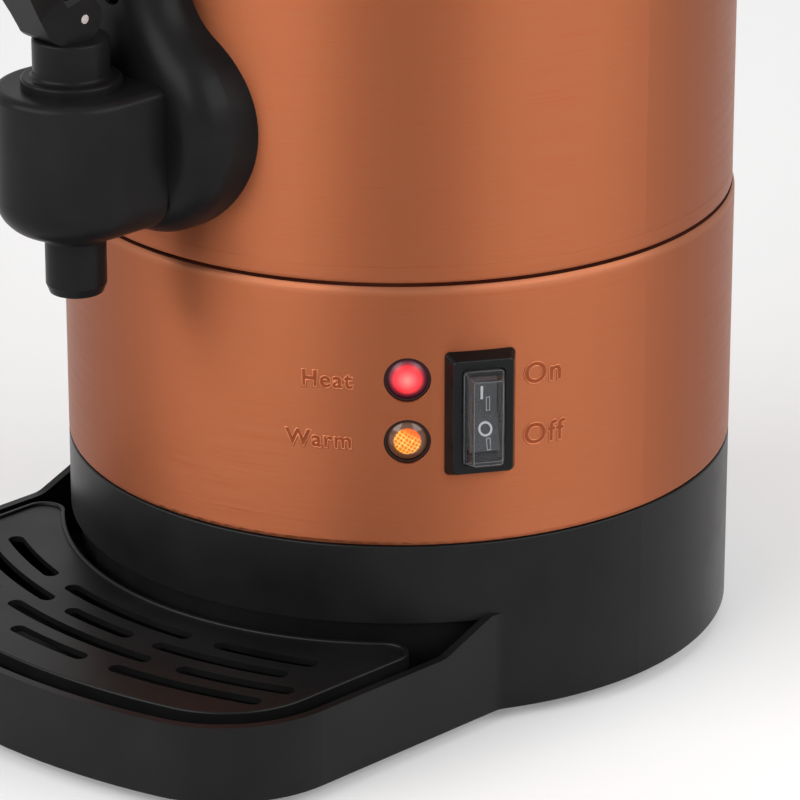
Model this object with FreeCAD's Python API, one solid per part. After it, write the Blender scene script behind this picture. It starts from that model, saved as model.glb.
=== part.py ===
import FreeCAD, Part
import math
import os

# Hot water urn with a tap, a sight gauge and a drip tray. Millimetres, +Z up.
# The urn is modelled about its own upright axis, with the tap towards -Y, and is moved back on export
# so that the origin lies at the middle of the whole footprint, on the counter.

V = FreeCAD.Vector
UP = V(0, 0, 1)
DOWN = V(0, 0, -1)
FRONT = V(0, -1, 0)
BACK = V(0, 1, 0)
RIGHT = V(1, 0, 0)

# General sizes
body_radius = 115.0
sheet = 1.0
moulding = 3.0
gap = 0.3
running_gap = 0.05
pilot_gap = 0.1

# Heights of the stack
foot_height = 8.0
base_rim_height = 5.0
base_top = 66.0
band_height = 91.1
shell_height = 274.0
tank_floor_rise = 21.0

# Base moulding
deck_thickness = 3.0
deck_width = 40.0
base_edge_radius = 0.6
boss_radius = 5.0
boss_count = 4
boss_first_angle = 22.5
spigot_height = 4.0
spigot_wall = 3.0

# Tray bay in front of the base
bay_side_step = 13.5
bay_depth = 75.0
front_centre = 42.0
bay_corner_radius = 45.0
bay_lip_height = 31.5
bay_shoulder_rise = 8.5
bay_shoulder_slope = 21.5
bay_shoulder_margin = 2.0
bay_slope_round = 12.0
bay_ceiling_drop = 1.5
bay_recess = 3.5
bay_floor_top = 12.0
bay_crease_radius = 8.0

# Drip tray
tray_side_margin = 8.5
tray_rear_margin = 2.0
tray_front_margin = 9.0
tray_rear_corner = 8.0
tray_front_corner = 36.0
tray_rim_height = 33.0
rim_width = 1.8
rim_rise = 0.9
rim_round = 0.7
grille_thickness = 2.2
grille_skirt = 2.0
pan_wall = 1.8
slot_width = 5.6
slot_front_margin = 14.0
slot_row_pitch = 11.2
slot_row_count = 4
long_row_slots = ((-10.2, 10.2), (13.4, 26.0), (-26.0, -13.4))
short_row_slots = ((-5.0, 5.0), (8.0, 24.0), (-24.0, -8.0))
rib_height = 3.0
rib_length = 14.0

# Bottom cover
cover_thickness = 2.0
foot_inset = 23.0
foot_radius = 11.0
foot_stem_radius = 3.5
foot_barb_radius = 5.0
foot_barb_height = 3.0
vent_count = 16
vent_inner_radius = 26.0
vent_outer_radius = 58.0
vent_width = 4.0
cover_screw_radius = 1.6
cover_screw_head = 3.6
cover_screw_head_height = 2.2
cover_screw_length = 12.0

# Control band, upper shell and tank
band_shoulder = 2.5
band_curl = 1.8
band_flange_width = 11.0
band_top_flange_width = 15.0
shell_step = 0.8
shell_curl = 1.8
shell_flange_width = 10.0
wall_gap = 10.2
tank_corner = 11.0

# Top ring and lid
ring_overhang = 2.8
ring_skirt = 10.0
ring_rise = 5.0
ring_wall = 2.5
lid_ledge_width = 4.2
lid_ledge_height = 2.5
lid_dome_height = 15.7
lid_flat_radius = 12.0
liner_depth = 10.0
liner_gap = 2.0
liner_flange = 4.5
seal_height = 5.0
vent_hole_radius = 1.5
vent_hole_circle = 52.0

# Knob
knob_base_radius = 13.0
knob_base_height = 4.0
knob_neck_radius = 8.0
knob_head_radius = 19.0
knob_height = 28.0
knob_screw_radius = 2.0
knob_screw_head = 4.0
knob_screw_head_height = 2.5
knob_screw_length = 16.0

# Side handles
handle_height_on_shell = 190.0
handle_reach = 43.0
handle_grip_depth = 14.0
handle_thickness = 24.0
handle_post_angle = 22.5
handle_bend_radius = 15.0
handle_round = 5.5
handle_foot_margin = 2.5
handle_foot_thickness = 3.0
handle_screw_radius = 2.0
handle_screw_head = 4.0
handle_screw_head_height = 2.4
handle_screw_length = 14.0

# Tap
tap_above_seam = 45.5
tap_half_width = 25.5
tap_standoff = 17.3
tap_top = 19.4
tap_bottom = 29.5
tap_bottom_round = 12.0
tap_top_round = 3.0
spout_radius = 10.0
spout_bore = 6.5
spout_drop = 21.0
chamber_radius = 15.5
seat_drop = 16.6
shank_radius = 8.0
shank_bore = 4.5
washer_radius = 13.0
outer_washer_thickness = 4.5
inner_washer_thickness = 3.5
nut_flats = 24.0
nut_thickness = 7.0
nut_bevel = 1.5

# Valve and lever
lever_turn = 45.0
valve_lift = 6.0
stem_radius = 3.0
stem_head_above_pin = 4.0
stem_collar_radius = 7.0
stem_collar_height = 2.0
cup_radius = 10.5
cup_height = 11.0
cup_disc_height = 4.0
cup_neck_radius = 6.0
bonnet_flange_radius = 16.4
bonnet_flange_height = 3.0
bonnet_plug_depth = 10.0
bonnet_hub_radius = 12.5
bonnet_hub_height = 16.0
bonnet_top_wall = 4.0
spring_pocket_radius = 9.0
spring_mean_radius = 5.6
spring_wire = 0.8
spring_turns = 6
pin_radius = 1.5
pin_above_bonnet = 7.0
cheek_thickness = 4.0
cheek_gap = 0.2
arm_angle = 60.0
arm_length = 48.0
arm_root_thickness = 11.0
arm_tip_thickness = 7.0
arm_tip_half_width = 10.5
arm_flare_radius = 20.0
stem_front_gap = 1.2

# Sight gauge
plate_half_width = 42.5
plate_corner = 38.0
plate_drop = 35.6
plate_depth = 16.0
plate_round = 13.0
column_half_width = 17.0
column_headroom = 4.8
plate_blend_radius = 30.0
plate_front_wall = 2.5
channel_front_wall = 1.0
channel_half_width = 6.0
window_half_width = 4.4
window_foot = 42.0
window_head_cover = 12.7
elbow_radius = 12.0
elbow_thickness = 9.0
gauge_centre_depth = 9.0
tube_radius = 4.0
tube_bore = 3.0
tube_top_drop = 46.8
spigot_top = 23.4
gauge_spigot_bore = 2.0
spigot_neck_radius = 3.4
neck_rise = 2.0
sleeve_wall = 1.0
sleeve_overlap = 8.0
cap_wall = 1.0
cap_height = 7.0
cap_overlap = 4.0
gauge_screw_radius = 1.6
gauge_screw_head = 3.2
gauge_screw_head_height = 2.2
gauge_screw_length = 9.0

# Heating under the tank
plate_disc_inset = 28.2
plate_disc_thickness = 6.0
element_inset = 16.0
element_width = 9.0
element_depth = 6.0
element_gap_angle = 24.0
terminal_radius = 2.0
terminal_length = 12.0
thermostat_radius = 9.0
thermostat_height = 6.0
thermostat_flange = 12.0
thermostat_flange_thickness = 1.5
thermostat_inset = 47.0
tab_width = 6.3
tab_thickness = 0.8
tab_length = 7.0
stud_inset = 30.0
stud_radius = 2.0
stud_pad_radius = 5.0
stud_pad_thickness = 2.0
stud_tail = 6.0
shield_drop = 29.0
shield_inset = 18.0
shield_rim = 8.0
shield_hole = 14.0
shield_corner = 3.0
spacer_wall = 2.0
small_nut_flats = 7.0
small_nut_thickness = 3.2

# Rocker switch with its clear cover; angles are to the right of the front
switch_angle = 58.3
switch_below_seam = 44.5
frame_width = 23.6
frame_height = 42.9
frame_depth = 4.8
frame_draft = 1.8
frame_corner = 1.8
frame_edge_round = 0.7
cover_width = 14.0
cover_height = 32.8
cover_rise = 6.6
cover_side_taper = 1.7
cover_end_taper = 1.4
cover_wall = 0.4
cover_flange = 2.0
cover_flange_thickness = 1.0
bezel_width = 12.8
bezel_height = 31.5
bezel_thickness = 3.2
rocker_width = 9.6
rocker_half_length = 12.6
rocker_tilt = 10.0
rocker_pivot_depth = 4.6
rocker_hub_radius = 4.0
rocker_pin_radius = 1.2
switch_body_depth = 22.0
switch_body_wall = 0.8
switch_mouth_wall = 0.9

# Indicator lamps
lamp_angle = 46.4
heating_lamp_below_seam = 32.5
warm_lamp_below_seam = 54.0
lamp_hole_radius = 7.75
lamp_lens_radius = 6.6
lamp_recess = 1.8
lamp_dome_rise = 2.1
lamp_lens_depth = 9.0
lamp_body_length = 22.0
lamp_flange_radius = 9.6
lamp_flange_thickness = 3.0

# Power inlet in the back of the base
inlet_height = 35.0
pad_half_width = 29.0
pad_half_height = 17.0
pad_rise = 1.0
inlet_flange_half_width = 25.0
inlet_flange_half_height = 13.0
inlet_flange_thickness = 2.5
inlet_flange_corner = 5.0
inlet_body_half_width = 14.0
inlet_body_half_height = 10.0
inlet_body_depth = 22.0
inlet_cavity_half_width = 12.2
inlet_cavity_half_height = 8.2
inlet_cavity_depth = 16.5
blade_width = 2.0
blade_height = 4.0
blade_length = 14.0
blade_spacing = 7.0
blade_drop = 2.0
earth_rise = 2.0
inlet_screw_spacing = 20.0
inlet_screw_radius = 1.5
inlet_screw_head = 2.8
inlet_screw_length = 10.0

# Terminal block on the deck
block_width = 34.0
block_depth = 15.0
block_height = 13.0
block_margin = 10.0
block_way_radius = 1.8
block_way_count = 3

# Levels and radii that follow
cover_underside = foot_height
cover_top = cover_underside + cover_thickness
base_inner_radius = body_radius - moulding
deck_underside = base_top - deck_thickness
seam_height = base_top + band_height
shell_radius = body_radius - shell_step
shell_inner_radius = shell_radius - sheet
shell_top = seam_height + shell_height
tank_radius = shell_inner_radius - wall_gap
tank_inner_radius = tank_radius - sheet
tank_rim = shell_top + sheet
tank_bottom = seam_height + tank_floor_rise
ring_top = tank_rim + ring_rise
lid_seat = tank_rim + lid_ledge_height
lid_top = lid_seat + 2 * sheet + lid_dome_height
tap_height = seam_height + tap_above_seam
plate_front = shell_radius + plate_depth
tap_axis_reach = plate_front + tap_standoff
gauge_reach = shell_radius + gauge_centre_depth
bonnet_seat = tap_height + tap_top
bonnet_top = bonnet_seat + bonnet_hub_height
valve_seat = tap_height - seat_drop
lever_pivot_height = bonnet_top + pin_above_bonnet
cam_rate = valve_lift / math.radians(lever_turn)
shield_top = tank_bottom - shield_drop
pad_face = body_radius + pad_rise
bay_half_width = body_radius - bay_side_step
bay_reach = body_radius + bay_depth
bay_shoulder_height = bay_lip_height + bay_shoulder_rise
bay_ceiling = bay_shoulder_height - bay_ceiling_drop
bay_shoulder_setback = bay_shoulder_margin + math.sqrt((body_radius + bay_crease_radius) ** 2
                                                       - (bay_half_width + bay_crease_radius) ** 2)
tray_half_width = bay_half_width - tray_side_margin
tray_rear_radius = body_radius + tray_rear_margin
tray_front_arc = front_centre + bay_reach - tray_front_margin
slot_row_last = tray_front_arc - slot_front_margin - slot_width / 2
deck_inner_radius = base_inner_radius - deck_width
foot_circle_radius = body_radius - foot_inset
stud_circle = body_radius - stud_inset
shield_radius = body_radius - shield_inset
plate_disc_radius = tank_inner_radius - plate_disc_inset
element_radius = plate_disc_radius - element_inset
thermostat_circle = plate_disc_radius - thermostat_inset
front_reach = bay_reach
back_reach = pad_face + inlet_flange_thickness
axis_setback = (front_reach - back_reach) / 2
sleeve_radius = tube_radius + sleeve_wall
tube_foot = tap_height + spigot_top + gap
tube_length = shell_top - tube_top_drop - tube_foot
cap_foot = tube_foot + tube_length - cap_overlap
cap_top = cap_foot + cap_height
gauge_screw_height = cap_top + column_headroom + column_half_width - gauge_screw_head
column_shoulder = gauge_screw_height - column_half_width + 2 * gauge_screw_head
reach_past = body_radius
heating_lamp_height = seam_height - heating_lamp_below_seam
warm_lamp_height = seam_height - warm_lamp_below_seam
switch_height = seam_height - switch_below_seam


# Small helpers


def bar(radius, start, direction, length):
    """A round bar from a point, along a direction."""
    return Part.makeCylinder(radius, length, start, direction)


def upright_ring(outer, inner, low, high):
    """A ring about the urn's axis."""
    return bar(outer, V(0, 0, low), UP, high - low).cut(bar(inner, V(0, 0, low), UP, high - low))


def block(x, y, z):
    """A box between pairs of limits along each axis."""
    return Part.makeBox(x[1] - x[0], y[1] - y[0], z[1] - z[0], V(x[0], y[0], z[0]))


def centred_block(half_x, y, half_z, height):
    """A box centred on x = 0 and on a height, between two places along Y."""
    return block((-half_x, half_x), y, (height - half_z, height + half_z))


def rounded_wire(corners, place):
    """A closed wire through corners (a, b, radius), each rounded by its radius."""
    count = len(corners)
    stops = []
    for index in range(count):
        before, here, after = corners[index - 1], corners[index], corners[(index + 1) % count]
        corner = FreeCAD.Vector(here[0], here[1], 0)
        back = (FreeCAD.Vector(before[0], before[1], 0) - corner).normalize()
        ahead = (FreeCAD.Vector(after[0], after[1], 0) - corner).normalize()
        if here[2] <= 0:
            stops.append((corner, None, corner))
            continue
        half = back.getAngle(ahead) / 2
        reach = here[2] / math.tan(half)
        middle = (back + ahead).normalize() * (here[2] / math.sin(half) - here[2])
        stops.append((corner + back * reach, corner + middle, corner + ahead * reach))
    edges = []
    for index in range(count):
        first, middle, last = stops[index]
        if middle is not None:
            edges.append(Part.Arc(place(first), place(middle), place(last)).toShape())
        following = stops[(index + 1) % count][0]
        if (following - last).Length > 1e-6:
            edges.append(Part.LineSegment(place(last), place(following)).toShape())
    return Part.Wire(edges)


def turned(corners, centre=V(0, 0, 0)):
    """A solid turned about an upright axis from corners (radius, height, rounding)."""
    wire = rounded_wire(corners, lambda p: V(centre.x + p.x, centre.y, p.y))
    return Part.Face(wire).revolve(V(centre.x, centre.y, 0), UP, 360)


def side_profile(corners, half_width):
    """A solid of even width across X, from corners (y, z, rounding)."""
    wire = rounded_wire(corners, lambda p: V(-half_width, p.x, p.y))
    return Part.Face(wire).extrude(V(2 * half_width, 0, 0))


def rounded_plate(half_x, half_z, corner, y, height):
    """An upright plate with rounded corners, centred on x = 0, between two places along Y."""
    corners = [(-half_x, height - half_z, corner), (half_x, height - half_z, corner),
               (half_x, height + half_z, corner), (-half_x, height + half_z, corner)]
    wire = rounded_wire(corners, lambda p: V(p.x, y[0], p.y))
    return Part.Face(wire).extrude(V(0, y[1] - y[0], 0))


def joined(first, *others):
    """One body made of several that touch."""
    for other in others:
        first = first.fuse(other)
    return first.removeSplitter().Solids[0]


def upright_edges(shape, wanted):
    """The edges that run straight up and whose place passes a test."""
    found = []
    for edge in shape.Edges:
        low, high = edge.BoundBox.ZMin, edge.BoundBox.ZMax
        upright = edge.BoundBox.XLength < 1e-6 and edge.BoundBox.YLength < 1e-6
        if upright and high - low > 1e-3 and wanted(edge.CenterOfMass):
            found.append(edge)
    return found


def hexagon(flats, thickness, start, direction):
    """A hexagonal nut blank whose face is at a point."""
    radius = flats / math.sqrt(3)
    points = [V(radius * math.cos(math.radians(60 * k)), radius * math.sin(math.radians(60 * k)), 0)
              for k in range(7)]
    blank = Part.Face(Part.makePolygon(points)).extrude(V(0, 0, thickness))
    blank.Placement = FreeCAD.Placement(start, FreeCAD.Rotation(UP, direction))
    return blank


def round_the_urn(shape, degrees):
    """A copy of a shape made at the front, turned to the right round the urn."""
    copy = shape.copy()
    copy.rotate(V(0, 0, 0), UP, degrees)
    return copy


def mirrored(shape):
    """The same shape on the other side of the urn."""
    return shape.mirror(V(0, 0, 0), RIGHT)


def at_angle(radius, degrees, height):
    """A point round the urn, measured to the right of the front."""
    angle = math.radians(degrees)
    return V(radius * math.sin(angle), -radius * math.cos(angle), height)


def pan_head_screw(radius, head_radius, head_height, length, seat, direction):
    """A screw whose head seats on a point and whose shank runs along a direction."""
    shank = bar(radius, seat, direction, length)
    head = bar(head_radius, seat, direction * -1, head_height)
    recess = bar(radius * 0.7, seat - direction * head_height, direction, head_height * 0.6)
    return joined(shank, head).cut(recess)


# Base, cover and feet


def bay_prism(inset, low, high):
    """The outline of the tray bay, drawn in from its outer face."""
    half = bay_half_width - inset
    reach = front_centre + bay_reach - inset
    prism = block((-half, half), (-bay_reach, 0), (low, high))
    prism = prism.common(bar(reach, V(0, front_centre, low), UP, high - low))
    corners = upright_edges(prism, lambda p: p.y < -bay_shoulder_setback)
    return prism.makeFillet(bay_corner_radius - inset, corners)


def boss_places():
    """The bosses that take the screws of the bottom cover."""
    return [at_angle(base_inner_radius + gap - boss_radius, boss_first_angle + 45 + k * 360 / boss_count, 0)
            for k in range(boss_count)]


def stud_places():
    """The three studs that hold the stack together."""
    return [at_angle(stud_circle, k * 120, 0) for k in range(3)]


def make_base_housing():
    shell = bar(body_radius, V(0, 0, base_rim_height), UP, base_top - base_rim_height)
    fall = (bay_shoulder_height - bay_lip_height) / math.tan(math.radians(bay_shoulder_slope))
    level = -bay_shoulder_setback - fall
    keep = side_profile([(-bay_reach - 1, base_rim_height, 0), (0, base_rim_height, 0),
                         (0, bay_shoulder_height, 0), (-bay_shoulder_setback, bay_shoulder_height, 0),
                         (level, bay_lip_height, bay_slope_round), (-bay_reach - 1, bay_lip_height, 0)],
                        body_radius)
    outer = bay_prism(0, base_rim_height, bay_shoulder_height).common(keep)
    housing = joined(shell, outer)
    crease = upright_edges(housing, lambda p: abs(abs(p.x) - bay_half_width) < 0.1
                           and p.y > -bay_shoulder_setback)
    housing = housing.makeFillet(bay_crease_radius, crease)
    pocket = bay_prism(moulding, bay_floor_top, bay_shoulder_height + 5)
    pocket = pocket.cut(bar(body_radius - bay_recess, V(0, 0, 0), UP, bay_ceiling))
    pocket = pocket.cut(bar(body_radius, V(0, 0, bay_ceiling), UP, base_top))
    hollow = bay_prism(moulding, 0, bay_floor_top - moulding).cut(bar(body_radius, V(0, 0, 0), UP, base_top))
    housing = housing.cut(pocket).cut(hollow)
    top_edge = [edge for edge in housing.Edges
                if abs(edge.BoundBox.ZMin - base_top) < 1e-4 and edge.BoundBox.ZLength < 1e-4
                and edge.BoundBox.XLength > 2 * body_radius - 1]
    housing = housing.makeFillet(base_edge_radius, top_edge)
    pad = centred_block(pad_half_width, (0, pad_face), pad_half_height, inlet_height)
    housing = housing.fuse(pad)
    back_wall = upright_ring(base_inner_radius, body_radius - bay_recess - moulding, cover_top + gap,
                             bay_ceiling + moulding)
    back_wall = back_wall.common(block((-bay_half_width, bay_half_width), (-body_radius, 0), (0, base_top)))
    inside = bar(base_inner_radius, V(0, 0, 0), UP, deck_underside).cut(back_wall)
    housing = housing.cut(inside).cut(bar(deck_inner_radius, V(0, 0, 0), UP, base_top + 1))
    spigot_radius = body_radius - band_flange_width - gap
    housing = housing.fuse(upright_ring(spigot_radius, spigot_radius - spigot_wall, base_top,
                                        base_top + spigot_height))
    for place in boss_places():
        post = bar(boss_radius, V(place.x, place.y, cover_top), UP, deck_underside - cover_top)
        hole = bar(cover_screw_radius + running_gap, V(place.x, place.y, cover_top), UP,
                   cover_screw_length + gap)
        housing = housing.fuse(post).cut(hole)
    for rib in tray_ribs():
        housing = housing.fuse(rib)
    for place in stud_places():
        housing = housing.cut(bar(stud_radius + gap, V(place.x, place.y, 0), UP, base_top + 1))
    mouth = centred_block(inlet_body_half_width + gap, (deck_inner_radius, pad_face + 1),
                          inlet_body_half_height + gap, inlet_height)
    housing = housing.cut(mouth)
    for side in (-1, 1):
        start = V(side * inlet_screw_spacing, pad_face, inlet_height)
        housing = housing.cut(bar(inlet_screw_radius + running_gap, start, FRONT, inlet_screw_length))
    return housing.removeSplitter()


def tray_ribs():
    """Low ribs on the floor of the bay that keep the pan in its place."""
    pan_half = tray_half_width - rim_width - gap
    outside = pan_half + gap
    low, high = bay_floor_top, bay_floor_top + rib_height
    middle_of_sides = -(bay_shoulder_setback + bay_reach) / 2
    side = block((outside, outside + moulding), (middle_of_sides, middle_of_sides + rib_length), (low, high))
    front_face = bay_reach - tray_front_margin - rim_width
    front = block((-rib_length / 2, rib_length / 2), (-front_face - moulding, -front_face), (low, high))
    return [side, mirrored(side), front]


def make_bottom_cover():
    cover = bar(base_inner_radius - gap, V(0, 0, cover_underside), UP, cover_thickness)
    for k in range(vent_count):
        middle = (vent_inner_radius + vent_outer_radius) / 2
        slot = block((-vent_width / 2, vent_width / 2), (-vent_outer_radius, -vent_inner_radius),
                     (cover_underside - 1, cover_top + 1))
        cover = cover.cut(round_the_urn(slot, k * 360 / vent_count + 180 / middle))
    for place in boss_places():
        cover = cover.cut(bar(cover_screw_radius + gap, V(place.x, place.y, 0), UP, cover_top + 1))
    for place in foot_places():
        cover = cover.cut(bar(foot_stem_radius + gap, V(place.x, place.y, 0), UP, cover_top + 1))
    return cover


def make_cover_screws():
    screws = [pan_head_screw(cover_screw_radius, cover_screw_head, cover_screw_head_height,
                             cover_screw_length, V(place.x, place.y, cover_underside), UP)
              for place in boss_places()]
    return Part.makeCompound(screws)


def foot_places():
    """Four feet, squarely under the body."""
    return [at_angle(foot_circle_radius, 45 + 90 * k, 0) for k in range(4)]


def make_foot(place):
    barb_low = cover_top
    return turned([(0, 0, 0), (foot_radius - 1.5, 0, 0), (foot_radius, 2, 0), (foot_radius, foot_height, 0),
                   (foot_stem_radius, foot_height, 0), (foot_stem_radius, barb_low, 0),
                   (foot_barb_radius, barb_low, 0), (foot_stem_radius, barb_low + foot_barb_height, 0),
                   (0, barb_low + foot_barb_height, 0)], place)


# Drip tray


def tray_prism(inset, low, high):
    """The outline of the drip tray, drawn in from its outer edge."""
    half = tray_half_width - inset
    reach = tray_front_arc - inset
    prism = block((-half, half), (-bay_reach, 0), (low, high))
    prism = prism.common(bar(reach, V(0, front_centre, low), UP, high - low))
    prism = prism.cut(bar(tray_rear_radius + inset, V(0, 0, low), UP, high - low))
    prism = max(prism.Solids, key=lambda solid: solid.Volume)
    middle_of_sides = -(bay_shoulder_setback + bay_reach) / 2
    rear = upright_edges(prism, lambda p: p.y > middle_of_sides)
    prism = prism.makeFillet(max(tray_rear_corner - inset, 1.0), rear)
    front = upright_edges(prism, lambda p: p.y < middle_of_sides and abs(p.x) > half - 0.1)
    return prism.makeFillet(tray_front_corner - inset, front)


def grille_slot(row_radius, first, last):
    """One slot of the grille: an arc with round ends, centred on the tray's own centre of curvature."""
    low, high = tray_rim_height - rim_rise - grille_thickness - 1, tray_rim_height + 1
    half = slot_width / 2
    tip = math.degrees(half / row_radius)
    start, end = math.radians(first + tip), math.radians(last - tip)

    def place(radius, angle):
        return V(radius * math.sin(angle), front_centre - radius * math.cos(angle), low)

    middle = (start + end) / 2
    cap_turn = half / row_radius
    edges = [Part.Arc(place(row_radius - half, start), place(row_radius - half, middle),
                      place(row_radius - half, end)),
             Part.Arc(place(row_radius - half, end), place(row_radius, end + cap_turn),
                      place(row_radius + half, end)),
             Part.Arc(place(row_radius + half, end), place(row_radius + half, middle),
                      place(row_radius + half, start)),
             Part.Arc(place(row_radius + half, start), place(row_radius, start - cap_turn),
                      place(row_radius - half, start))]
    return Part.Face(Part.Wire([edge.toShape() for edge in edges])).extrude(V(0, 0, high - low))


def make_drip_grille():
    plate_top = tray_rim_height - rim_rise
    underside = plate_top - grille_thickness
    grille = tray_prism(0, underside - grille_skirt, tray_rim_height)
    grille = grille.cut(tray_prism(rim_width, plate_top, tray_rim_height + 1))
    grille = grille.cut(tray_prism(rim_width, underside - grille_skirt - 1, underside))
    rim = [edge for edge in grille.Edges
           if abs(edge.BoundBox.ZMin - tray_rim_height) < 1e-4 and edge.BoundBox.ZLength < 1e-4]
    grille = grille.makeFillet(rim_round, rim)
    for row in range(slot_row_count):
        spans = short_row_slots if row % 2 == 0 else long_row_slots
        for first, last in spans:
            grille = grille.cut(grille_slot(slot_row_last - row * slot_row_pitch, first, last))
    return grille


def make_drip_pan():
    top = tray_rim_height - rim_rise - grille_thickness
    pan = tray_prism(rim_width + gap, bay_floor_top, top)
    return pan.cut(tray_prism(rim_width + gap + pan_wall, bay_floor_top + pan_wall, top + 1))


# Band, shell and tank


def make_control_band():
    r, t = body_radius, sheet
    band = turned([(r - band_flange_width, base_top, 0), (r, base_top, band_curl),
                   (r, seam_height, band_shoulder), (r - band_top_flange_width, seam_height, 0),
                   (r - band_top_flange_width, seam_height - t, 0), (r - t, seam_height - t, band_shoulder - t),
                   (r - t, base_top + t, band_curl - t), (r - band_flange_width, base_top + t, 0)])
    for height in (heating_lamp_height, warm_lamp_height):
        hole = bar(lamp_hole_radius, V(0, -r - moulding, height), BACK, reach_past)
        band = band.cut(round_the_urn(hole, lamp_angle))
    cut_out = centred_block(switch_body_half_width() + gap, (-r - moulding, 0),
                            switch_body_half_height() + gap, switch_height)
    return band.cut(round_the_urn(cut_out, switch_angle))


def make_upper_shell():
    r, t, low = shell_radius, sheet, seam_height
    shell = turned([(r - shell_flange_width, low, 0), (r, low, shell_curl), (r, shell_top, 0),
                    (r - t, shell_top, 0), (r - t, low + t, shell_curl - t),
                    (r - shell_flange_width, low + t, 0)])
    shell = shell.cut(bar(shank_radius + gap, V(0, 0, tap_height), FRONT, r + moulding))
    shell = shell.cut(bar(gauge_screw_radius + gap, V(0, 0, gauge_screw_height), FRONT, r + moulding))
    for hole in handle_screw_holes(handle_screw_radius + gap):
        shell = shell.cut(hole)
    return shell


def make_inner_tank():
    r, t, low = tank_radius, sheet, tank_bottom
    tank = turned([(0, low, 0), (r, low, tank_corner), (r, tank_rim - t, 0), (shell_radius, tank_rim - t, 0),
                   (shell_radius, tank_rim, 0), (r - t, tank_rim, 0), (r - t, low + t, tank_corner - t),
                   (0, low + t, 0)])
    return tank.cut(bar(shank_radius + gap, V(0, 0, tap_height), FRONT, r + moulding))


def make_top_ring():
    inner, ledge = tank_inner_radius + gap, tank_inner_radius + gap + lid_ledge_width
    outer = shell_radius + ring_overhang + gap
    return turned([(inner, tank_rim, 0), (shell_radius + gap, tank_rim, 0),
                   (shell_radius + gap, tank_rim - ring_skirt, 0), (outer, tank_rim - ring_skirt, 0),
                   (outer, ring_top, 3.5), (ledge, ring_top, 0.8), (ledge, lid_seat, 0), (inner, lid_seat, 0)])


# Lid


def lid_edge_radius():
    """The lid's rim, just inside the step of the top ring."""
    return tank_inner_radius + gap + lid_ledge_width - gap


def make_lid_shell():
    rim, t, seat = lid_edge_radius(), sheet, lid_seat
    shoulder = rim - 7
    top = lid_top
    flat_drop = lid_dome_height

    def dome(offset):
        """Dome arc from the shoulder to the flat middle, drawn in by an offset."""
        start = V(shoulder, 0, top - flat_drop - offset)
        end = V(lid_flat_radius, 0, top - offset)
        rise, run = end.z - start.z, start.x - end.x
        radius = (rise * rise + run * run) / (2 * rise)
        turn = math.asin(run / radius) / 2
        middle = V(end.x + radius * math.sin(turn), 0, end.z - radius + radius * math.cos(turn))
        return Part.Arc(start, middle, end)

    def line(*points):
        return [Part.LineSegment(points[k], points[k + 1]).toShape() for k in range(len(points) - 1)]

    low_top = top - flat_drop
    edges = [dome(0).toShape()]
    edges += line(V(lid_flat_radius, 0, top), V(0, 0, top), V(0, 0, top - t), V(lid_flat_radius, 0, top - t))
    edges += [dome(t).toShape()]
    edges += line(V(shoulder, 0, low_top - t), V(rim - t, 0, low_top - t), V(rim - t, 0, seat), V(rim, 0, seat),
                  V(rim, 0, low_top), V(shoulder, 0, low_top))
    profile = Part.Wire(Part.__sortEdges__(edges))
    shell = Part.Face(profile).revolve(V(0, 0, 0), UP, 360)
    shell = shell.cut(bar(knob_screw_radius + gap, V(0, 0, seat), UP, top))
    for k in range(3):
        place = at_angle(vent_hole_circle, 180 + (k - 1) * 14, seat)
        shell = shell.cut(bar(vent_hole_radius, place, UP, top))
    return shell


def make_lid_liner():
    plug = tank_inner_radius - liner_gap
    flange = lid_edge_radius() - sheet - gap
    low, t = lid_seat - liner_depth, sheet
    liner = turned([(0, low, 0), (plug, low, 3), (plug, lid_seat, 0), (flange, lid_seat, 0),
                    (flange, lid_seat + t, 0), (plug - t, lid_seat + t, 0), (plug - t, low + t, 2),
                    (0, low + t, 0)])
    for k in range(3):
        place = at_angle(vent_hole_circle, 180 + (k - 1) * 14, low - 1)
        liner = liner.cut(bar(vent_hole_radius, place, UP, liner_depth))
    return liner


def make_lid_seal():
    plug = tank_inner_radius - liner_gap
    low = lid_seat - liner_depth / 2 - seal_height / 2 - 1
    return turned([(plug, low, 0), (tank_inner_radius - gap, low + 1, 0),
                   (tank_inner_radius - gap, low + seal_height - 2.5, 0), (plug, low + seal_height, 0)])


def make_knob_base():
    base = turned([(0, lid_top, 0), (knob_base_radius, lid_top, 0),
                   (knob_base_radius - 2, lid_top + knob_base_height, 1), (0, lid_top + knob_base_height, 0)])
    return base.cut(bar(knob_screw_radius + pilot_gap, V(0, 0, lid_top - 1), UP, knob_base_height + 2))


def make_lid_knob():
    low = lid_top + knob_base_height
    high = low + knob_height
    knob = turned([(0, low, 0), (knob_neck_radius + 1, low, 0), (knob_neck_radius, low + 8, 6),
                   (knob_head_radius, low + 15, 4), (knob_head_radius, high - 5, 6),
                   (knob_neck_radius, high, 14), (0, high, 0)])
    return knob.cut(bar(knob_screw_radius + running_gap, V(0, 0, low - 1), UP, knob_screw_length))


def make_knob_screw():
    return pan_head_screw(knob_screw_radius, knob_screw_head, knob_screw_head_height, knob_screw_length,
                          V(0, 0, lid_top - sheet), UP)


# Side handles


def handle_middle():
    return seam_height + handle_height_on_shell


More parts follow.
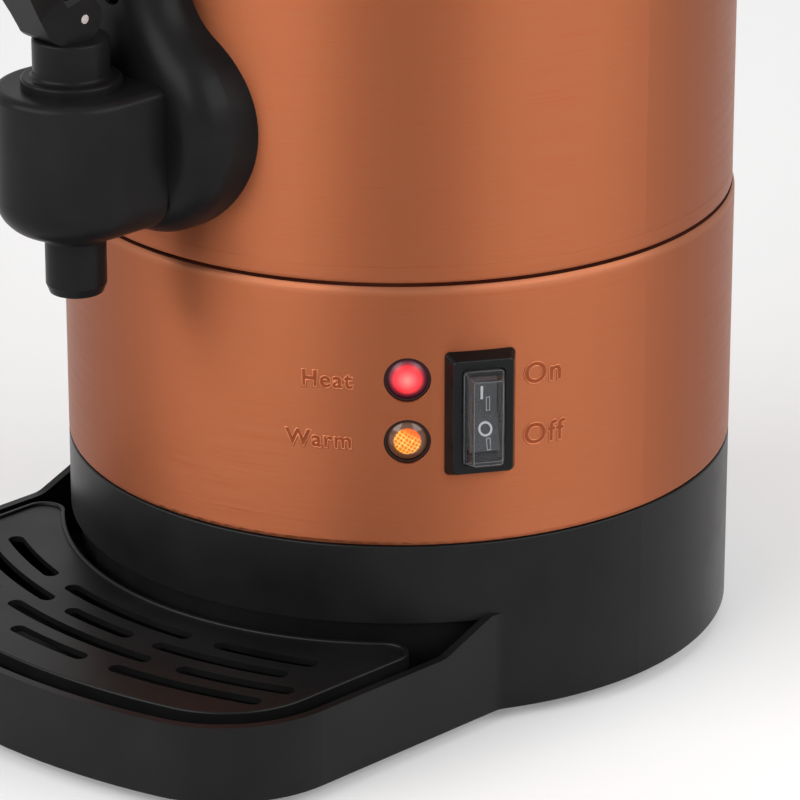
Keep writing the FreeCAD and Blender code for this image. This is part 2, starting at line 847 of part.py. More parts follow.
def handle_path(end_radius):
    """Middle line of one handle at the front: out from the wall, round to the side and back in."""
    middle = shell_radius + handle_reach - handle_grip_depth / 2
    bend = handle_bend_radius
    turn = math.degrees(math.asin(bend / (middle - bend)))
    edges = []
    for side in (-1, 1):
        centre = at_angle(middle - bend, side * (handle_post_angle - turn), handle_middle())
        foot = at_angle(end_radius, side * handle_post_angle, handle_middle())
        on_post = at_angle((middle - bend) * math.cos(math.radians(turn)), side * handle_post_angle,
                           handle_middle())
        on_grip = at_angle(middle, side * (handle_post_angle - turn), handle_middle())
        bend_middle = centre + ((on_post - centre) + (on_grip - centre)).normalize() * bend
        post = Part.LineSegment(foot, on_post).toShape()
        corner = Part.Arc(on_post, bend_middle, on_grip).toShape()
        edges += [post, corner]
        if side < 0:
            edges.append(Part.Arc(on_grip, at_angle(middle, 0, handle_middle()),
                                  at_angle(middle, handle_post_angle - turn, handle_middle())).toShape())
    return Part.Wire(Part.__sortEdges__(edges))


def make_handle(side):
    path = handle_path(shell_radius - 4)
    start = path.OrderedEdges[0]
    end = path.OrderedVertexes[0].Point
    along = start.tangentAt(start.FirstParameter)
    if start.valueAt(start.FirstParameter).distanceToPoint(end) > 1e-6:
        along = start.tangentAt(start.LastParameter)
    across = UP.cross(along).normalize()
    half_w, half_h = handle_grip_depth / 2, handle_thickness / 2
    section = rounded_wire([(-half_w, -half_h, handle_round), (half_w, -half_h, handle_round),
                            (half_w, half_h, handle_round), (-half_w, half_h, handle_round)],
                           lambda p: end + across * p.x + UP * p.y)
    handle = path.makePipeShell([section], True, False).Solids[0]
    for angle in (-handle_post_angle, handle_post_angle):
        foot = rounded_plate(half_w + handle_foot_margin, half_h + handle_foot_margin,
                             handle_round + handle_foot_margin,
                             (-shell_radius - handle_foot_thickness, -shell_radius + 3), handle_middle())
        rim = [edge for edge in foot.Edges
               if edge.BoundBox.YLength < 1e-6 and edge.BoundBox.YMin < -shell_radius]
        handle = handle.fuse(round_the_urn(foot.makeFillet(handle_foot_thickness * 0.6, rim), angle))
    low, high = handle_middle() - handle_thickness, handle_middle() + handle_thickness
    handle = handle.cut(bar(shell_radius, V(0, 0, low), UP, high - low))
    handle = round_the_urn(handle, 90 * side)
    for hole in handle_screw_holes(handle_screw_radius + running_gap):
        handle = handle.cut(hole)
    return max(handle.Solids, key=lambda solid: solid.Volume)


def handle_screw_angles():
    return [side * 90 + turn for side in (1, -1) for turn in (handle_post_angle, -handle_post_angle)]


def handle_screw_holes(radius):
    start = shell_inner_radius - 2
    length = handle_screw_length + 2 + pilot_gap
    return [round_the_urn(bar(radius, V(0, -start, handle_middle()), FRONT, length), angle)
            for angle in handle_screw_angles()]


def make_handle_screws():
    """Screws from inside the outer wall; each head is curved to the wall by its washer face."""
    screws = []
    for angle in handle_screw_angles():
        screw = pan_head_screw(handle_screw_radius, handle_screw_head, handle_screw_head_height + sheet,
                               handle_screw_length, V(0, -shell_inner_radius, handle_middle()), FRONT)
        head_zone = bar(handle_screw_head + 1, V(0, -shell_inner_radius - 1, handle_middle()), BACK, 1 + sheet)
        outside = head_zone.cut(bar(shell_inner_radius, V(0, 0, handle_middle() - handle_thickness), UP,
                                    2 * handle_thickness))
        outside = outside.cut(bar(handle_screw_radius, V(0, 0, handle_middle()), FRONT, body_radius))
        screws.append(round_the_urn(screw.cut(outside), angle))
    return Part.makeCompound(screws)


# Sight gauge


def plate_outline():
    """Keyhole outline of the gauge housing: a broad rounded plate under a narrow column."""
    r, w, blend = plate_corner, column_half_width, plate_blend_radius
    shift = plate_half_width - plate_corner
    lift = plate_corner - plate_drop
    rise = math.sqrt((r + blend) ** 2 - (w + blend - shift) ** 2)
    turn = math.atan2(rise, w + blend - shift)
    top = column_shoulder
    y = -plate_front

    def at(x, z):
        return V(x, y, tap_height + lift + z)

    def on_corner(angle):
        return at(shift + r * math.cos(angle), r * math.sin(angle))

    join, foot = on_corner(turn), on_corner(-math.pi / 2)
    side_start = at(w, rise)
    half = turn / 2
    blend_middle = at(w + blend - blend * math.cos(half), rise - blend * math.sin(half))

    def flip(p):
        return V(-p.x, p.y, p.z)

    edges = [Part.LineSegment(flip(foot), foot), Part.Arc(foot, on_corner((turn - math.pi / 2) / 2), join),
             Part.Arc(join, blend_middle, side_start),
             Part.LineSegment(side_start, V(w, y, top)),
             Part.Arc(V(w, y, top), V(0, y, top + w), V(-w, y, top)),
             Part.LineSegment(V(-w, y, top), flip(side_start)),
             Part.Arc(flip(side_start), flip(blend_middle), flip(join)),
             Part.Arc(flip(join), flip(on_corner((turn - math.pi / 2) / 2)), flip(foot))]
    return Part.Wire([edge.toShape() for edge in edges])


def make_gauge_housing():
    sag = shell_radius - math.sqrt(shell_radius ** 2 - plate_half_width ** 2)
    body = Part.Face(plate_outline()).extrude(V(0, plate_depth + sag + 1, 0))
    front_edges = [edge for edge in body.Edges
                   if edge.BoundBox.YLength < 1e-6 and abs(edge.BoundBox.YMin + plate_front) < 1e-6]
    body = body.makeFillet(plate_round, front_edges)
    low, high = tap_height - plate_drop - 1, column_shoulder + column_half_width + 1
    body = body.cut(bar(shell_radius, V(0, 0, low), UP, high - low))
    inside_front = plate_front - plate_front_wall
    cavity = bar(elbow_radius + 1.5, V(0, -inside_front, tap_height), BACK, plate_depth)
    channel_face = plate_front - channel_front_wall
    channel_top = cap_top
    channel = block((-channel_half_width, channel_half_width), (-channel_face, -shell_radius + 5),
                    (tap_height, channel_top))
    above_plate = tap_height + elbow_radius
    channel = channel.cut(block((-plate_half_width, plate_half_width), (-channel_face - 1, -inside_front),
                                (tap_height - 1, above_plate)))
    window = block((-window_half_width, window_half_width), (-plate_front - 1, -channel_face + 1),
                   (tap_height + window_foot, cap_top - window_head_cover))
    ends = [edge for edge in window.Edges if edge.BoundBox.YLength > 1]
    window = window.makeFillet(window_half_width * 0.95, ends)
    body = body.cut(cavity).cut(channel).cut(window)
    body = body.cut(bar(shank_radius + gap, V(0, -shell_radius, tap_height), FRONT, plate_depth + 1))
    start = V(0, -shell_radius + 5, gauge_screw_height)
    return body.cut(bar(gauge_screw_radius + running_gap, start, FRONT,
                        5 + gauge_screw_length - sheet + pilot_gap))


def make_gauge_screw():
    height = gauge_screw_height
    return pan_head_screw(gauge_screw_radius, gauge_screw_head, gauge_screw_head_height, gauge_screw_length,
                          V(0, -math.sqrt(shell_inner_radius ** 2 - gauge_screw_head ** 2), height), FRONT)


def make_gauge_elbow():
    """Banjo ring on the shank, with a spigot that feeds the sight tube."""
    front = plate_front - plate_front_wall
    ring = bar(elbow_radius, V(0, -front, tap_height), BACK, elbow_thickness)
    neck_top = elbow_radius + neck_rise
    neck = bar(spigot_neck_radius, V(0, -gauge_reach, tap_height + shank_radius + 1), UP,
               neck_top - shank_radius - 1)
    spigot = bar(tube_radius, V(0, -gauge_reach, tap_height + neck_top), UP, spigot_top - neck_top)
    elbow = ring.fuse(neck).fuse(spigot)
    elbow = elbow.cut(bar(shank_radius + pilot_gap, V(0, -front - 1, tap_height), BACK, elbow_thickness + 2))
    elbow = elbow.cut(bar(gauge_spigot_bore, V(0, -gauge_reach, tap_height + 1), UP, spigot_top))
    return elbow.removeSplitter().Solids[0]


def make_gauge_coupling():
    low = tap_height + spigot_top - sleeve_overlap
    sleeve = bar(sleeve_radius, V(0, -gauge_reach, low), UP, 2 * sleeve_overlap + gap)
    return sleeve.cut(bar(tube_radius + running_gap, V(0, -gauge_reach, low - 1), UP, 2 * sleeve_overlap + 3))


def make_sight_tube():
    tube = bar(tube_radius, V(0, -gauge_reach, tube_foot), UP, tube_length)
    return tube.cut(bar(tube_bore, V(0, -gauge_reach, tube_foot - 1), UP, tube_length + 2))


def make_gauge_cap():
    cap = bar(tube_radius + cap_wall, V(0, -gauge_reach, cap_foot), UP, cap_height)
    cap = cap.cut(bar(tube_radius + running_gap, V(0, -gauge_reach, cap_foot - 1), UP, cap_overlap + 1))
    return cap.cut(bar(1.0, V(0, -gauge_reach, cap_foot), UP, cap_height + 1))


# Tap


def shank_end():
    """How far from the urn's axis the tap's shank ends inside the tank."""
    return tank_inner_radius - inner_washer_thickness - nut_thickness - 3


def make_tap_body():
    low, high = tap_height - tap_bottom, tap_height + tap_top
    w = tap_half_width
    barrel = bar(w, V(0, -tap_axis_reach, low), UP, high - low)
    saddle = block((-w, w), (-tap_axis_reach, -plate_front), (low, high))
    barrel = barrel.common(block((-w, w), (-tap_axis_reach - w, -tap_axis_reach), (low, high)))
    body = joined(barrel, saddle)
    lower = [edge for edge in body.Edges
             if edge.BoundBox.ZLength < 1e-6 and abs(edge.BoundBox.ZMin - low) < 1e-6
             and edge.BoundBox.YMin < -plate_front - 0.01]
    body = body.makeFillet(tap_bottom_round, lower)
    upper = [edge for edge in body.Edges
             if edge.BoundBox.ZLength < 1e-6 and abs(edge.BoundBox.ZMin - high) < 1e-6
             and edge.BoundBox.YMin < -plate_front - 0.01]
    body = body.makeFillet(tap_top_round, upper)
    centre = V(0, -tap_axis_reach, 0)
    spout = turned([(0, low - spout_drop, 0), (spout_radius - 1.2, low - spout_drop, 0),
                    (spout_radius, low - spout_drop + 3, 0), (spout_radius, low - 3, 2),
                    (spout_radius + 6, low + 6, 0), (0, low + 6, 0)], centre)
    shank = bar(shank_radius, V(0, -plate_front - 1, tap_height), BACK, plate_front + 1 - shank_end())
    body = body.fuse(spout).fuse(shank)
    body = body.cut(bar(spout_bore, centre + UP * (low - spout_drop - 1), UP, high - low))
    body = body.cut(bar(chamber_radius, centre + UP * valve_seat, UP, high - valve_seat + 1))
    body = body.cut(bar(shank_bore, centre + UP * tap_height, BACK, tap_axis_reach))
    feed = bar(gauge_spigot_bore, V(0, -gauge_reach, tap_height), UP, shank_radius + 1)
    return body.cut(feed).removeSplitter()


def make_tap_washer_outer():
    front = shell_radius + outer_washer_thickness
    washer = bar(washer_radius, V(0, -front, tap_height), BACK, washer_radius)
    washer = washer.cut(bar(shank_radius + pilot_gap, V(0, -front - 1, tap_height), BACK, reach_past))
    return washer.cut(bar(shell_radius, V(0, 0, tap_height - washer_radius), UP, 2 * washer_radius))


def make_tap_spacer():
    sleeve = bar(washer_radius, V(0, -shell_inner_radius, tap_height), BACK, wall_gap + washer_radius)
    sleeve = sleeve.cut(bar(shank_radius + pilot_gap, V(0, -body_radius, tap_height), BACK, body_radius))
    span = upright_ring(shell_inner_radius, tank_radius, tap_height - washer_radius, tap_height + washer_radius)
    return sleeve.common(span)


def make_tap_washer_inner():
    back = tank_inner_radius - inner_washer_thickness
    washer = bar(washer_radius, V(0, -back, tap_height), FRONT, washer_radius)
    washer = washer.cut(bar(shank_radius + pilot_gap, V(0, -back + 1, tap_height), FRONT, reach_past))
    return washer.common(bar(tank_inner_radius, V(0, 0, tap_height - washer_radius), UP, 2 * washer_radius))


def make_tap_nut():
    face = tank_inner_radius - inner_washer_thickness
    nut = hexagon(nut_flats, nut_thickness, V(0, -face, tap_height), BACK)
    cone = Part.makeCone(nut_flats / math.sqrt(3) + nut_bevel * 2, nut_flats / 2 - nut_bevel / 4,
                         nut_thickness, V(0, -face, tap_height), BACK)
    nut = nut.common(cone)
    return nut.cut(bar(shank_radius + running_gap, V(0, -face - 1, tap_height), BACK, nut_thickness + 2))


def make_tap_bonnet():
    centre = V(0, -tap_axis_reach, 0)
    seat, top = bonnet_seat, bonnet_top
    bonnet = turned([(0, seat - bonnet_plug_depth, 0), (chamber_radius - pilot_gap, seat - bonnet_plug_depth, 0),
                     (chamber_radius - pilot_gap, seat, 0), (bonnet_flange_radius, seat, 0),
                     (bonnet_flange_radius, seat + bonnet_flange_height, 1),
                     (bonnet_hub_radius, seat + bonnet_flange_height, 1.5),
                     (bonnet_hub_radius, top, 1), (0, top, 0)], centre)
    bonnet = bonnet.cut(bar(spring_pocket_radius, centre + UP * (seat - bonnet_plug_depth - 1), UP,
                            bonnet_plug_depth + 1 + bonnet_hub_height - bonnet_top_wall))
    return bonnet.cut(bar(stem_radius + running_gap, centre + UP * seat, UP, bonnet_hub_height + 1))


def collar_height():
    """Underside of the stem's collar, on top of the seat cup."""
    return valve_seat + cup_height


def make_tap_stem():
    centre = V(0, -tap_axis_reach, 0)
    foot = valve_seat + cup_disc_height
    head = lever_pivot_height + stem_head_above_pin
    stem = turned([(0, foot, 0), (stem_radius, foot, 0), (stem_radius, collar_height(), 0),
                   (stem_collar_radius, collar_height(), 0),
                   (stem_collar_radius, collar_height() + stem_collar_height, 0),
                   (stem_radius, collar_height() + stem_collar_height, 0), (stem_radius, head, 1), (0, head, 0)],
                  centre)
    cross = bar(pin_radius + running_gap, V(-reach_past, -tap_axis_reach, lever_pivot_height), RIGHT,
                2 * reach_past)
    return stem.cut(cross)


def make_seat_cup():
    centre = V(0, -tap_axis_reach, 0)
    low = valve_seat
    cup = turned([(0, low, 0), (cup_radius, low, 0), (cup_radius, low + cup_disc_height, 1),
                  (cup_neck_radius, low + cup_disc_height, 1), (cup_neck_radius, low + cup_height, 0),
                  (0, low + cup_height, 0)], centre)
    return cup.cut(bar(stem_radius + running_gap, centre + UP * (low + cup_disc_height), UP, cup_height))


def make_lever_pin():
    half = stem_radius + cheek_gap + cheek_thickness
    return bar(pin_radius, V(-half, -tap_axis_reach, lever_pivot_height), RIGHT, 2 * half)


def cam_point(turn):
    """A point of the cam: its distance to the bonnet grows evenly with the turn of the lever."""
    reach = pin_above_bonnet + cam_rate * turn
    y = -reach * math.sin(turn) - cam_rate * math.cos(turn)
    z = -reach * math.cos(turn) + cam_rate * math.sin(turn)
    return V(0, y - tap_axis_reach, z + lever_pivot_height)


def make_tap_lever():
    """Lever with two cam cheeks on the pin and an arm that rises towards the user."""
    pivot = V(0, -tap_axis_reach, lever_pivot_height)
    turn = math.radians(lever_turn)
    steps = [cam_point(turn * k / 6) for k in range(7)]
    along = V(0, -math.cos(math.radians(arm_angle)), math.sin(math.radians(arm_angle)))
    across = V(0, along.z, -along.y)
    nose = steps[-1]
    tip_low = nose + along * arm_length
    tip_high = tip_low + across * arm_tip_thickness
    tip_middle = (tip_low + tip_high) * 0.5 + along * (arm_tip_thickness / 2)
    root_high = nose + across * arm_root_thickness + along * 4
    back = pivot + V(0, pin_above_bonnet, 0)
    heel = pivot + V(0, 3, -pin_above_bonnet)
    crown = pivot + V(0, 0, pin_above_bonnet)
    crown_middle = pivot + V(0, 1, 1).normalize() * pin_above_bonnet
    heel_middle = pivot + V(0, 1, -0.62).normalize() * (pin_above_bonnet + 0.2)
    cam = Part.BSplineCurve()
    cam.interpolate(steps)
    edges = [cam.toShape(), Part.LineSegment(nose, tip_low).toShape(),
             Part.Arc(tip_low, tip_middle, tip_high).toShape(),
             Part.LineSegment(tip_high, root_high).toShape(), Part.LineSegment(root_high, crown).toShape(),
             Part.Arc(crown, crown_middle, back).toShape(), Part.Arc(back, heel_middle, heel).toShape(),
             Part.LineSegment(heel, steps[0]).toShape()]
    half = stem_radius + cheek_gap + cheek_thickness
    profile = Part.Face(Part.Wire(edges))
    wide = profile.extrude(V(2 * arm_tip_half_width, 0, 0))
    wide.translate(V(-arm_tip_half_width, 0, 0))
    reach_out = (tip_middle - pivot).dot(along)
    heel_back = -2 * pin_above_bonnet
    neck, paddle = arm_length * 0.25, reach_out - arm_length * 0.3
    plan = [(-half, heel_back, 0), (half, heel_back, 0), (half, neck, arm_flare_radius),
            (arm_tip_half_width, paddle, arm_flare_radius),
            (arm_tip_half_width, reach_out + 1, arm_tip_half_width * 0.8),
            (-arm_tip_half_width, reach_out + 1, arm_tip_half_width * 0.8),
            (-arm_tip_half_width, paddle, arm_flare_radius), (-half, neck, arm_flare_radius)]
    start = pivot - across * arm_length
    wire = rounded_wire(plan, lambda p: start + V(p.x, 0, 0) + along * p.y)
    lever = wide.common(Part.Face(wire).extrude(across * (2 * arm_length)))
    slot_half = stem_radius + cheek_gap
    slot = block((-slot_half, slot_half), (pivot.y - stem_radius - stem_front_gap, pivot.y + arm_length),
                 (pivot.z - arm_length, pivot.z + pin_above_bonnet + stem_front_gap))
    lever = lever.cut(slot)
    slot.rotate(pivot, RIGHT, -lever_turn)
    lever = lever.cut(slot)
    return lever.cut(bar(pin_radius + running_gap, V(-reach_past, pivot.y, pivot.z), RIGHT, 2 * reach_past))


def make_tap_spring():
    """Compression spring between the stem's collar and the roof of the bonnet's pocket."""
    low = collar_height() + stem_collar_height
    high = bonnet_top - bonnet_top_wall
    rise = high - low - spring_wire * 2
    radius = spring_mean_radius
    quarter = rise / (spring_turns * 4)
    centre = V(0, -tap_axis_reach, low + spring_wire)

    def point(step):
        angle = math.pi / 2 * step
        return centre + V(radius * math.cos(angle), radius * math.sin(angle), quarter * step)

    edges = [Part.Arc(point(k), point(k + 0.5), point(k + 1)).toShape() for k in range(spring_turns * 4)]
    path = Part.Wire(edges)
    start = path.Edges[0]
    section = Part.Wire(Part.makeCircle(spring_wire, point(0), start.tangentAt(start.FirstParameter)))
    coil = path.makePipeShell([section], True, False)
    return Part.Solid(coil) if coil.ShapeType == "Shell" else coil


# Heating and electrics


def make_heating_plate():
    return bar(plate_disc_radius, V(0, 0, tank_bottom - plate_disc_thickness), UP, plate_disc_thickness)


def make_heating_element():
    """Flat-topped element brazed under the plate, open over the gap between its two terminals."""
    high = tank_bottom - plate_disc_thickness
    half = element_width / 2
    wire = rounded_wire([(element_radius - half, high, 0.5), (element_radius - half, high - element_depth, 2.5),
                         (element_radius + half, high - element_depth, 2.5),
                         (element_radius + half, high, 0.5)], lambda p: V(p.x, 0, p.y))
    element = Part.Face(wire).revolve(V(0, 0, 0), UP, 360 - element_gap_angle)
    element.rotate(V(0, 0, 0), UP, 90 + element_gap_angle / 2)
    for side in (-1, 1):
        place = at_angle(element_radius, 180 + side * (element_gap_angle / 2 + 4), high - element_depth + 1)
        element = joined(element, bar(terminal_radius, place, DOWN, terminal_length))
    return element


def make_thermostat(degrees, height):
    """Disc thermostat with its mounting flange and two tabs, flat against the plate."""
    top = tank_bottom - plate_disc_thickness
    centre = at_angle(thermostat_circle, degrees, 0)
    body = bar(thermostat_flange, V(centre.x, centre.y, top), DOWN, thermostat_flange_thickness)
    body = body.fuse(bar(thermostat_radius, V(centre.x, centre.y, top), DOWN, height))
    for side in (-1, 1):
        low = top - height - tab_length
        tab = block((centre.x + side * 4.5 - tab_thickness / 2, centre.x + side * 4.5 + tab_thickness / 2),
                    (centre.y - tab_width / 2, centre.y + tab_width / 2), (low, top - height + 1))
        body = body.fuse(tab)
    return body.removeSplitter()


def make_tie_studs():
    studs = []
    for place in stud_places():
        pad = bar(stud_pad_radius, V(place.x, place.y, tank_bottom), DOWN, stud_pad_thickness)
        low = deck_underside - stud_tail
        rod = bar(stud_radius, V(place.x, place.y, low), UP, tank_bottom - low)
        studs.append(joined(pad, rod))
    return Part.makeCompound(studs)


def make_stud_spacers():
    high = tank_bottom - stud_pad_thickness
    tubes = []
    for place in stud_places():
        tube = bar(stud_radius + gap + spacer_wall, V(place.x, place.y, shield_top), UP, high - shield_top)
        tubes.append(tube.cut(bar(stud_radius + gap, V(place.x, place.y, shield_top), UP, high - shield_top)))
    return Part.makeCompound(tubes)


def make_heat_shield():
    low = shield_top - sheet
    r, t = shield_radius, sheet
    shield = turned([(shield_hole, low, 0), (r, low, shield_corner), (r, shield_top + shield_rim, 0),
                     (r - t, shield_top + shield_rim, 0), (r - t, shield_top, shield_corner - t),
                     (shield_hole, shield_top, 0)])
    for place in stud_places():
        shield = shield.cut(bar(stud_radius + gap, V(place.x, place.y, low - 1), UP, sheet + 2))
    return shield


def make_stud_nuts():
    nuts = []
    for place in stud_places():
        for seat in (shield_top - sheet, deck_underside):
            nut = hexagon(small_nut_flats, small_nut_thickness, V(place.x, place.y, seat), DOWN)
            nuts.append(nut.cut(bar(stud_radius + running_gap, V(place.x, place.y, seat + 1), DOWN,
                                    small_nut_thickness + 2)))
    return Part.makeCompound(nuts)


# Rocker switch


def switch_body_half_width():
    return rocker_width / 2 + 0.2 + switch_body_wall


def switch_body_half_height():
    return switch_mouth_half_height() + switch_mouth_wall


def switch_mouth_half_height():
    """Half the mouth of the switch, which clears the pressed end of the rocker."""
    return rocker_half_length * math.cos(math.radians(rocker_tilt)) + 1.5


def rocker_axis():
    """Depth of the rocker's hinge, measured from the urn's axis."""
    return body_radius + bezel_thickness - rocker_pivot_depth


def make_switch_body():
    r = body_radius
    back = r - switch_body_depth
    bezel = rounded_plate(bezel_width / 2, bezel_height / 2, 1.2, (-r - bezel_thickness, -r), switch_height)
    case = centred_block(switch_body_half_width(), (-r, -back), switch_body_half_height(), switch_height)
    body = joined(bezel, case)
    mouth = centred_block(rocker_width / 2 + 0.2, (-r - bezel_thickness - 1, -r + 11),
                          switch_mouth_half_height(), switch_height)
    body = body.cut(mouth)
    axis = bar(rocker_pin_radius + running_gap, V(-rocker_width / 2 - 0.9, -rocker_axis(), switch_height),
               RIGHT, rocker_width + 1.8)
    body = body.cut(axis)
    for k in (-1, 0, 1):
        tab = centred_block(tab_thickness / 2, (-back - 1, -back + tab_length), tab_width / 2,
                            switch_height + k * 9)
        body = body.fuse(tab)
    return round_the_urn(body.removeSplitter(), switch_angle)


def make_rocker():
    """Rocker at rest with its upper end pressed in."""
    tilt = math.radians(rocker_tilt)
    centre = rocker_pivot_depth / math.cos(tilt)
    end = centre + rocker_half_length * math.tan(tilt)
    axis = -rocker_axis()
    half = rocker_half_length
    z = switch_height
    corners = [(axis - centre, z, 0), (axis - end, z + half, 0.6), (axis - end + 5, z + half - 1, 1),
               (axis - 0.5, z + rocker_hub_radius, 1), (axis + rocker_hub_radius, z + 2, 1),
               (axis + rocker_hub_radius, z - 2, 1), (axis - 0.5, z - rocker_hub_radius, 1),
               (axis - end + 5, z - half + 1, 1), (axis - end, z - half, 0.6)]
    rocker = side_profile(corners, rocker_width / 2)
    pins = bar(rocker_pin_radius, V(-rocker_width / 2 - 0.8, axis, z), RIGHT, rocker_width + 1.6)
    rocker = joined(rocker, pins)
    rocker.rotate(V(0, axis, z), RIGHT, -rocker_tilt)
    return round_the_urn(rocker, switch_angle)


def drafted_block(half_w, half_h, corner, reaches, side_taper, end_taper):
    """Rounded block: straight from the first reach to the second, then narrowing to the third."""
    wires = []
    for reach, share in zip(reaches, (0, 0, 1)):
        w, h = half_w - share * side_taper, half_h - share * end_taper
        corners = [(-w, -h, corner), (w, -h, corner), (w, h, corner), (-w, h, corner)]
        wires.append(rounded_wire(corners, lambda p, y=-reach: V(p.x, y, switch_height + p.y)))
    return Part.makeLoft(wires, True, True)


def front_rim(shape, front):
    """The edges round a flat front face."""
    return [edge for edge in shape.Edges
            if edge.BoundBox.YLength < 1e-6 and abs(edge.BoundBox.YMin + front) < 1e-6]


def make_switch_frame():
    r = body_radius
    front = r + frame_depth
    half_w, half_h = frame_width / 2, frame_height / 2
    frame = drafted_block(half_w, half_h, frame_corner, (r - 3, r, front), frame_draft, frame_draft)
    frame = frame.makeFillet(frame_edge_round, front_rim(frame, front))
    frame = frame.cut(bar(r, V(0, 0, switch_height - half_h - 1), UP, frame_height + 2))
    opening = rounded_plate(cover_width / 2 + gap, cover_height / 2 + gap, 1.5, (-front - 1, 0), switch_height)
    step = rounded_plate(cover_width / 2 + cover_flange + gap, cover_height / 2 + cover_flange + gap, 1.5,
                         (-r - cover_flange_thickness, 0), switch_height)
    return round_the_urn(frame.cut(opening).cut(step), switch_angle)


def tapered_block(inset, corner, front):
    """Rounded block under the hood's face, which narrows towards the front."""
    back = body_radius - 2
    knee = body_radius + frame_depth
    narrowed = drafted_block(cover_width / 2 - inset, cover_height / 2 - inset, corner,
                             (back, knee, knee + cover_rise), cover_side_taper, cover_end_taper)
    return narrowed.common(centred_block(cover_width, (-front, -back), cover_height, switch_height))


def make_switch_cover():
    """Clear hood over the rocker, held by a flange under the frame."""
    r = body_radius
    rise = r + frame_depth + cover_rise
    half_w, half_h = cover_width / 2, cover_height / 2
    hood = tapered_block(0, 1.6, rise)
    hood = hood.makeFillet(0.8, front_rim(hood, rise))
    flange = rounded_plate(half_w + cover_flange, half_h + cover_flange, 1.2,
                           (-r - cover_flange_thickness, -r + 2), switch_height)
    hood = hood.fuse(flange)
    hood = hood.cut(tapered_block(cover_wall, 1.3, rise - cover_wall))
    hood = hood.cut(bar(r, V(0, 0, switch_height - half_h - 9), UP, cover_height + 18))
    return round_the_urn(hood.removeSplitter(), switch_angle)


# Lamps


def lamp_face():
    """Front face of the lamp's dark holder, a little behind the band's surface."""
    return body_radius - lamp_recess


def make_lamp_holder(height):
    r = body_radius - sheet
    sleeve = bar(lamp_hole_radius - gap, V(0, -lamp_face(), height), BACK, lamp_body_length)
    flange = bar(lamp_flange_radius, V(0, -r - 2, height), BACK, lamp_flange_thickness + 2)
    flange = flange.common(bar(r, V(0, 0, height - lamp_flange_radius), UP, 2 * lamp_flange_radius))
    holder = sleeve.fuse(flange)
    holder = holder.cut(bar(lamp_lens_radius + pilot_gap, V(0, -lamp_face() - 9, height), BACK,
                            9 + lamp_lens_depth))
    for side in (-1, 1):
        back = lamp_face() - lamp_body_length
        tab = centred_block(tab_thickness / 2, (-back - 1, -back + tab_length), tab_width / 2 - 1, height)
        tab.translate(V(side * 3, 0, 0))
        holder = holder.fuse(tab)
    return round_the_urn(holder.removeSplitter(), lamp_angle)


def make_lamp_lens(height):
    r, rise = lamp_lens_radius, lamp_dome_rise
    lens = bar(r, V(0, -lamp_face(), height), BACK, lamp_lens_depth)
    sphere_radius = (r * r + rise * rise) / (2 * rise)
    ball = Part.makeSphere(sphere_radius, V(0, -lamp_face() - rise + sphere_radius, height))
    dome = ball.common(bar(r, V(0, -lamp_face(), height), FRONT, rise + 1))
    return round_the_urn(joined(lens, dome), lamp_angle)


# Power inlet and terminal block


def make_power_inlet():
    face = pad_face + inlet_flange_thickness
    z = inlet_height
    flange = rounded_plate(inlet_flange_half_width, inlet_flange_half_height, inlet_flange_corner,
                           (pad_face, face), z)
    case = centred_block(inlet_body_half_width, (pad_face - inlet_body_depth, pad_face + 1),
                         inlet_body_half_height, z)
    inlet = flange.fuse(case)
    cavity = rounded_plate(inlet_cavity_half_width, inlet_cavity_half_height, 3.0,
                           (face - inlet_cavity_depth, face + 1), z)
    inlet = inlet.cut(cavity)
    for x, rise in ((-blade_spacing, -blade_drop), (0, earth_rise), (blade_spacing, -blade_drop)):
        floor = face - inlet_cavity_depth
        blade = centred_block(blade_width / 2, (floor - 1, floor + blade_length), blade_height / 2, z + rise)
        blade.translate(V(x, 0, 0))
        inlet = inlet.fuse(blade)
        tab = centred_block(tab_thickness / 2, (pad_face - inlet_body_depth - tab_length,
                            pad_face - inlet_body_depth + 1), tab_width / 2, z + rise)
        tab.translate(V(x, 0, 0))
        inlet = inlet.fuse(tab)
    for side in (-1, 1):
        start = V(side * inlet_screw_spacing, face, z)
        inlet = inlet.cut(bar(inlet_screw_radius + gap, start, FRONT, inlet_flange_thickness + 1))
        inlet = inlet.cut(Part.makeCone(inlet_screw_head + gap, inlet_screw_radius + gap,
                                        inlet_screw_head - inlet_screw_radius, start, FRONT))
    return inlet.removeSplitter()


def make_inlet_screws():
    face = pad_face + inlet_flange_thickness
    screws = []
    for side in (-1, 1):
        start = V(side * inlet_screw_spacing, face, inlet_height)
        head = Part.makeCone(inlet_screw_head, inlet_screw_radius, inlet_screw_head - inlet_screw_radius,
                             start, FRONT)
        shank = bar(inlet_screw_radius, start, FRONT, inlet_screw_length)
        recess = bar(inlet_screw_radius * 0.7, start + BACK, FRONT, 2)
        screws.append(joined(head, shank).cut(recess))
    return Part.makeCompound(screws)


def make_terminal_block():
    block_reach = deck_inner_radius + block_margin + block_depth / 2
    body = block((-block_width / 2, block_width / 2), (block_reach - block_depth / 2, block_reach + block_depth / 2),
                 (base_top, base_top + block_height))
    pitch = block_width / block_way_count
    for k in range(block_way_count):
        x = (k - (block_way_count - 1) / 2) * pitch
        start = V(x, block_reach - block_depth / 2 - 1, base_top + block_height / 2)
        body = body.cut(bar(block_way_radius, start, BACK, block_depth + 2))
        for side in (-1, 1):
            well = V(x, block_reach + side * block_depth / 4, base_top + block_height / 2)
            body = body.cut(bar(block_way_radius, well, UP, block_height))
    return body


# Export


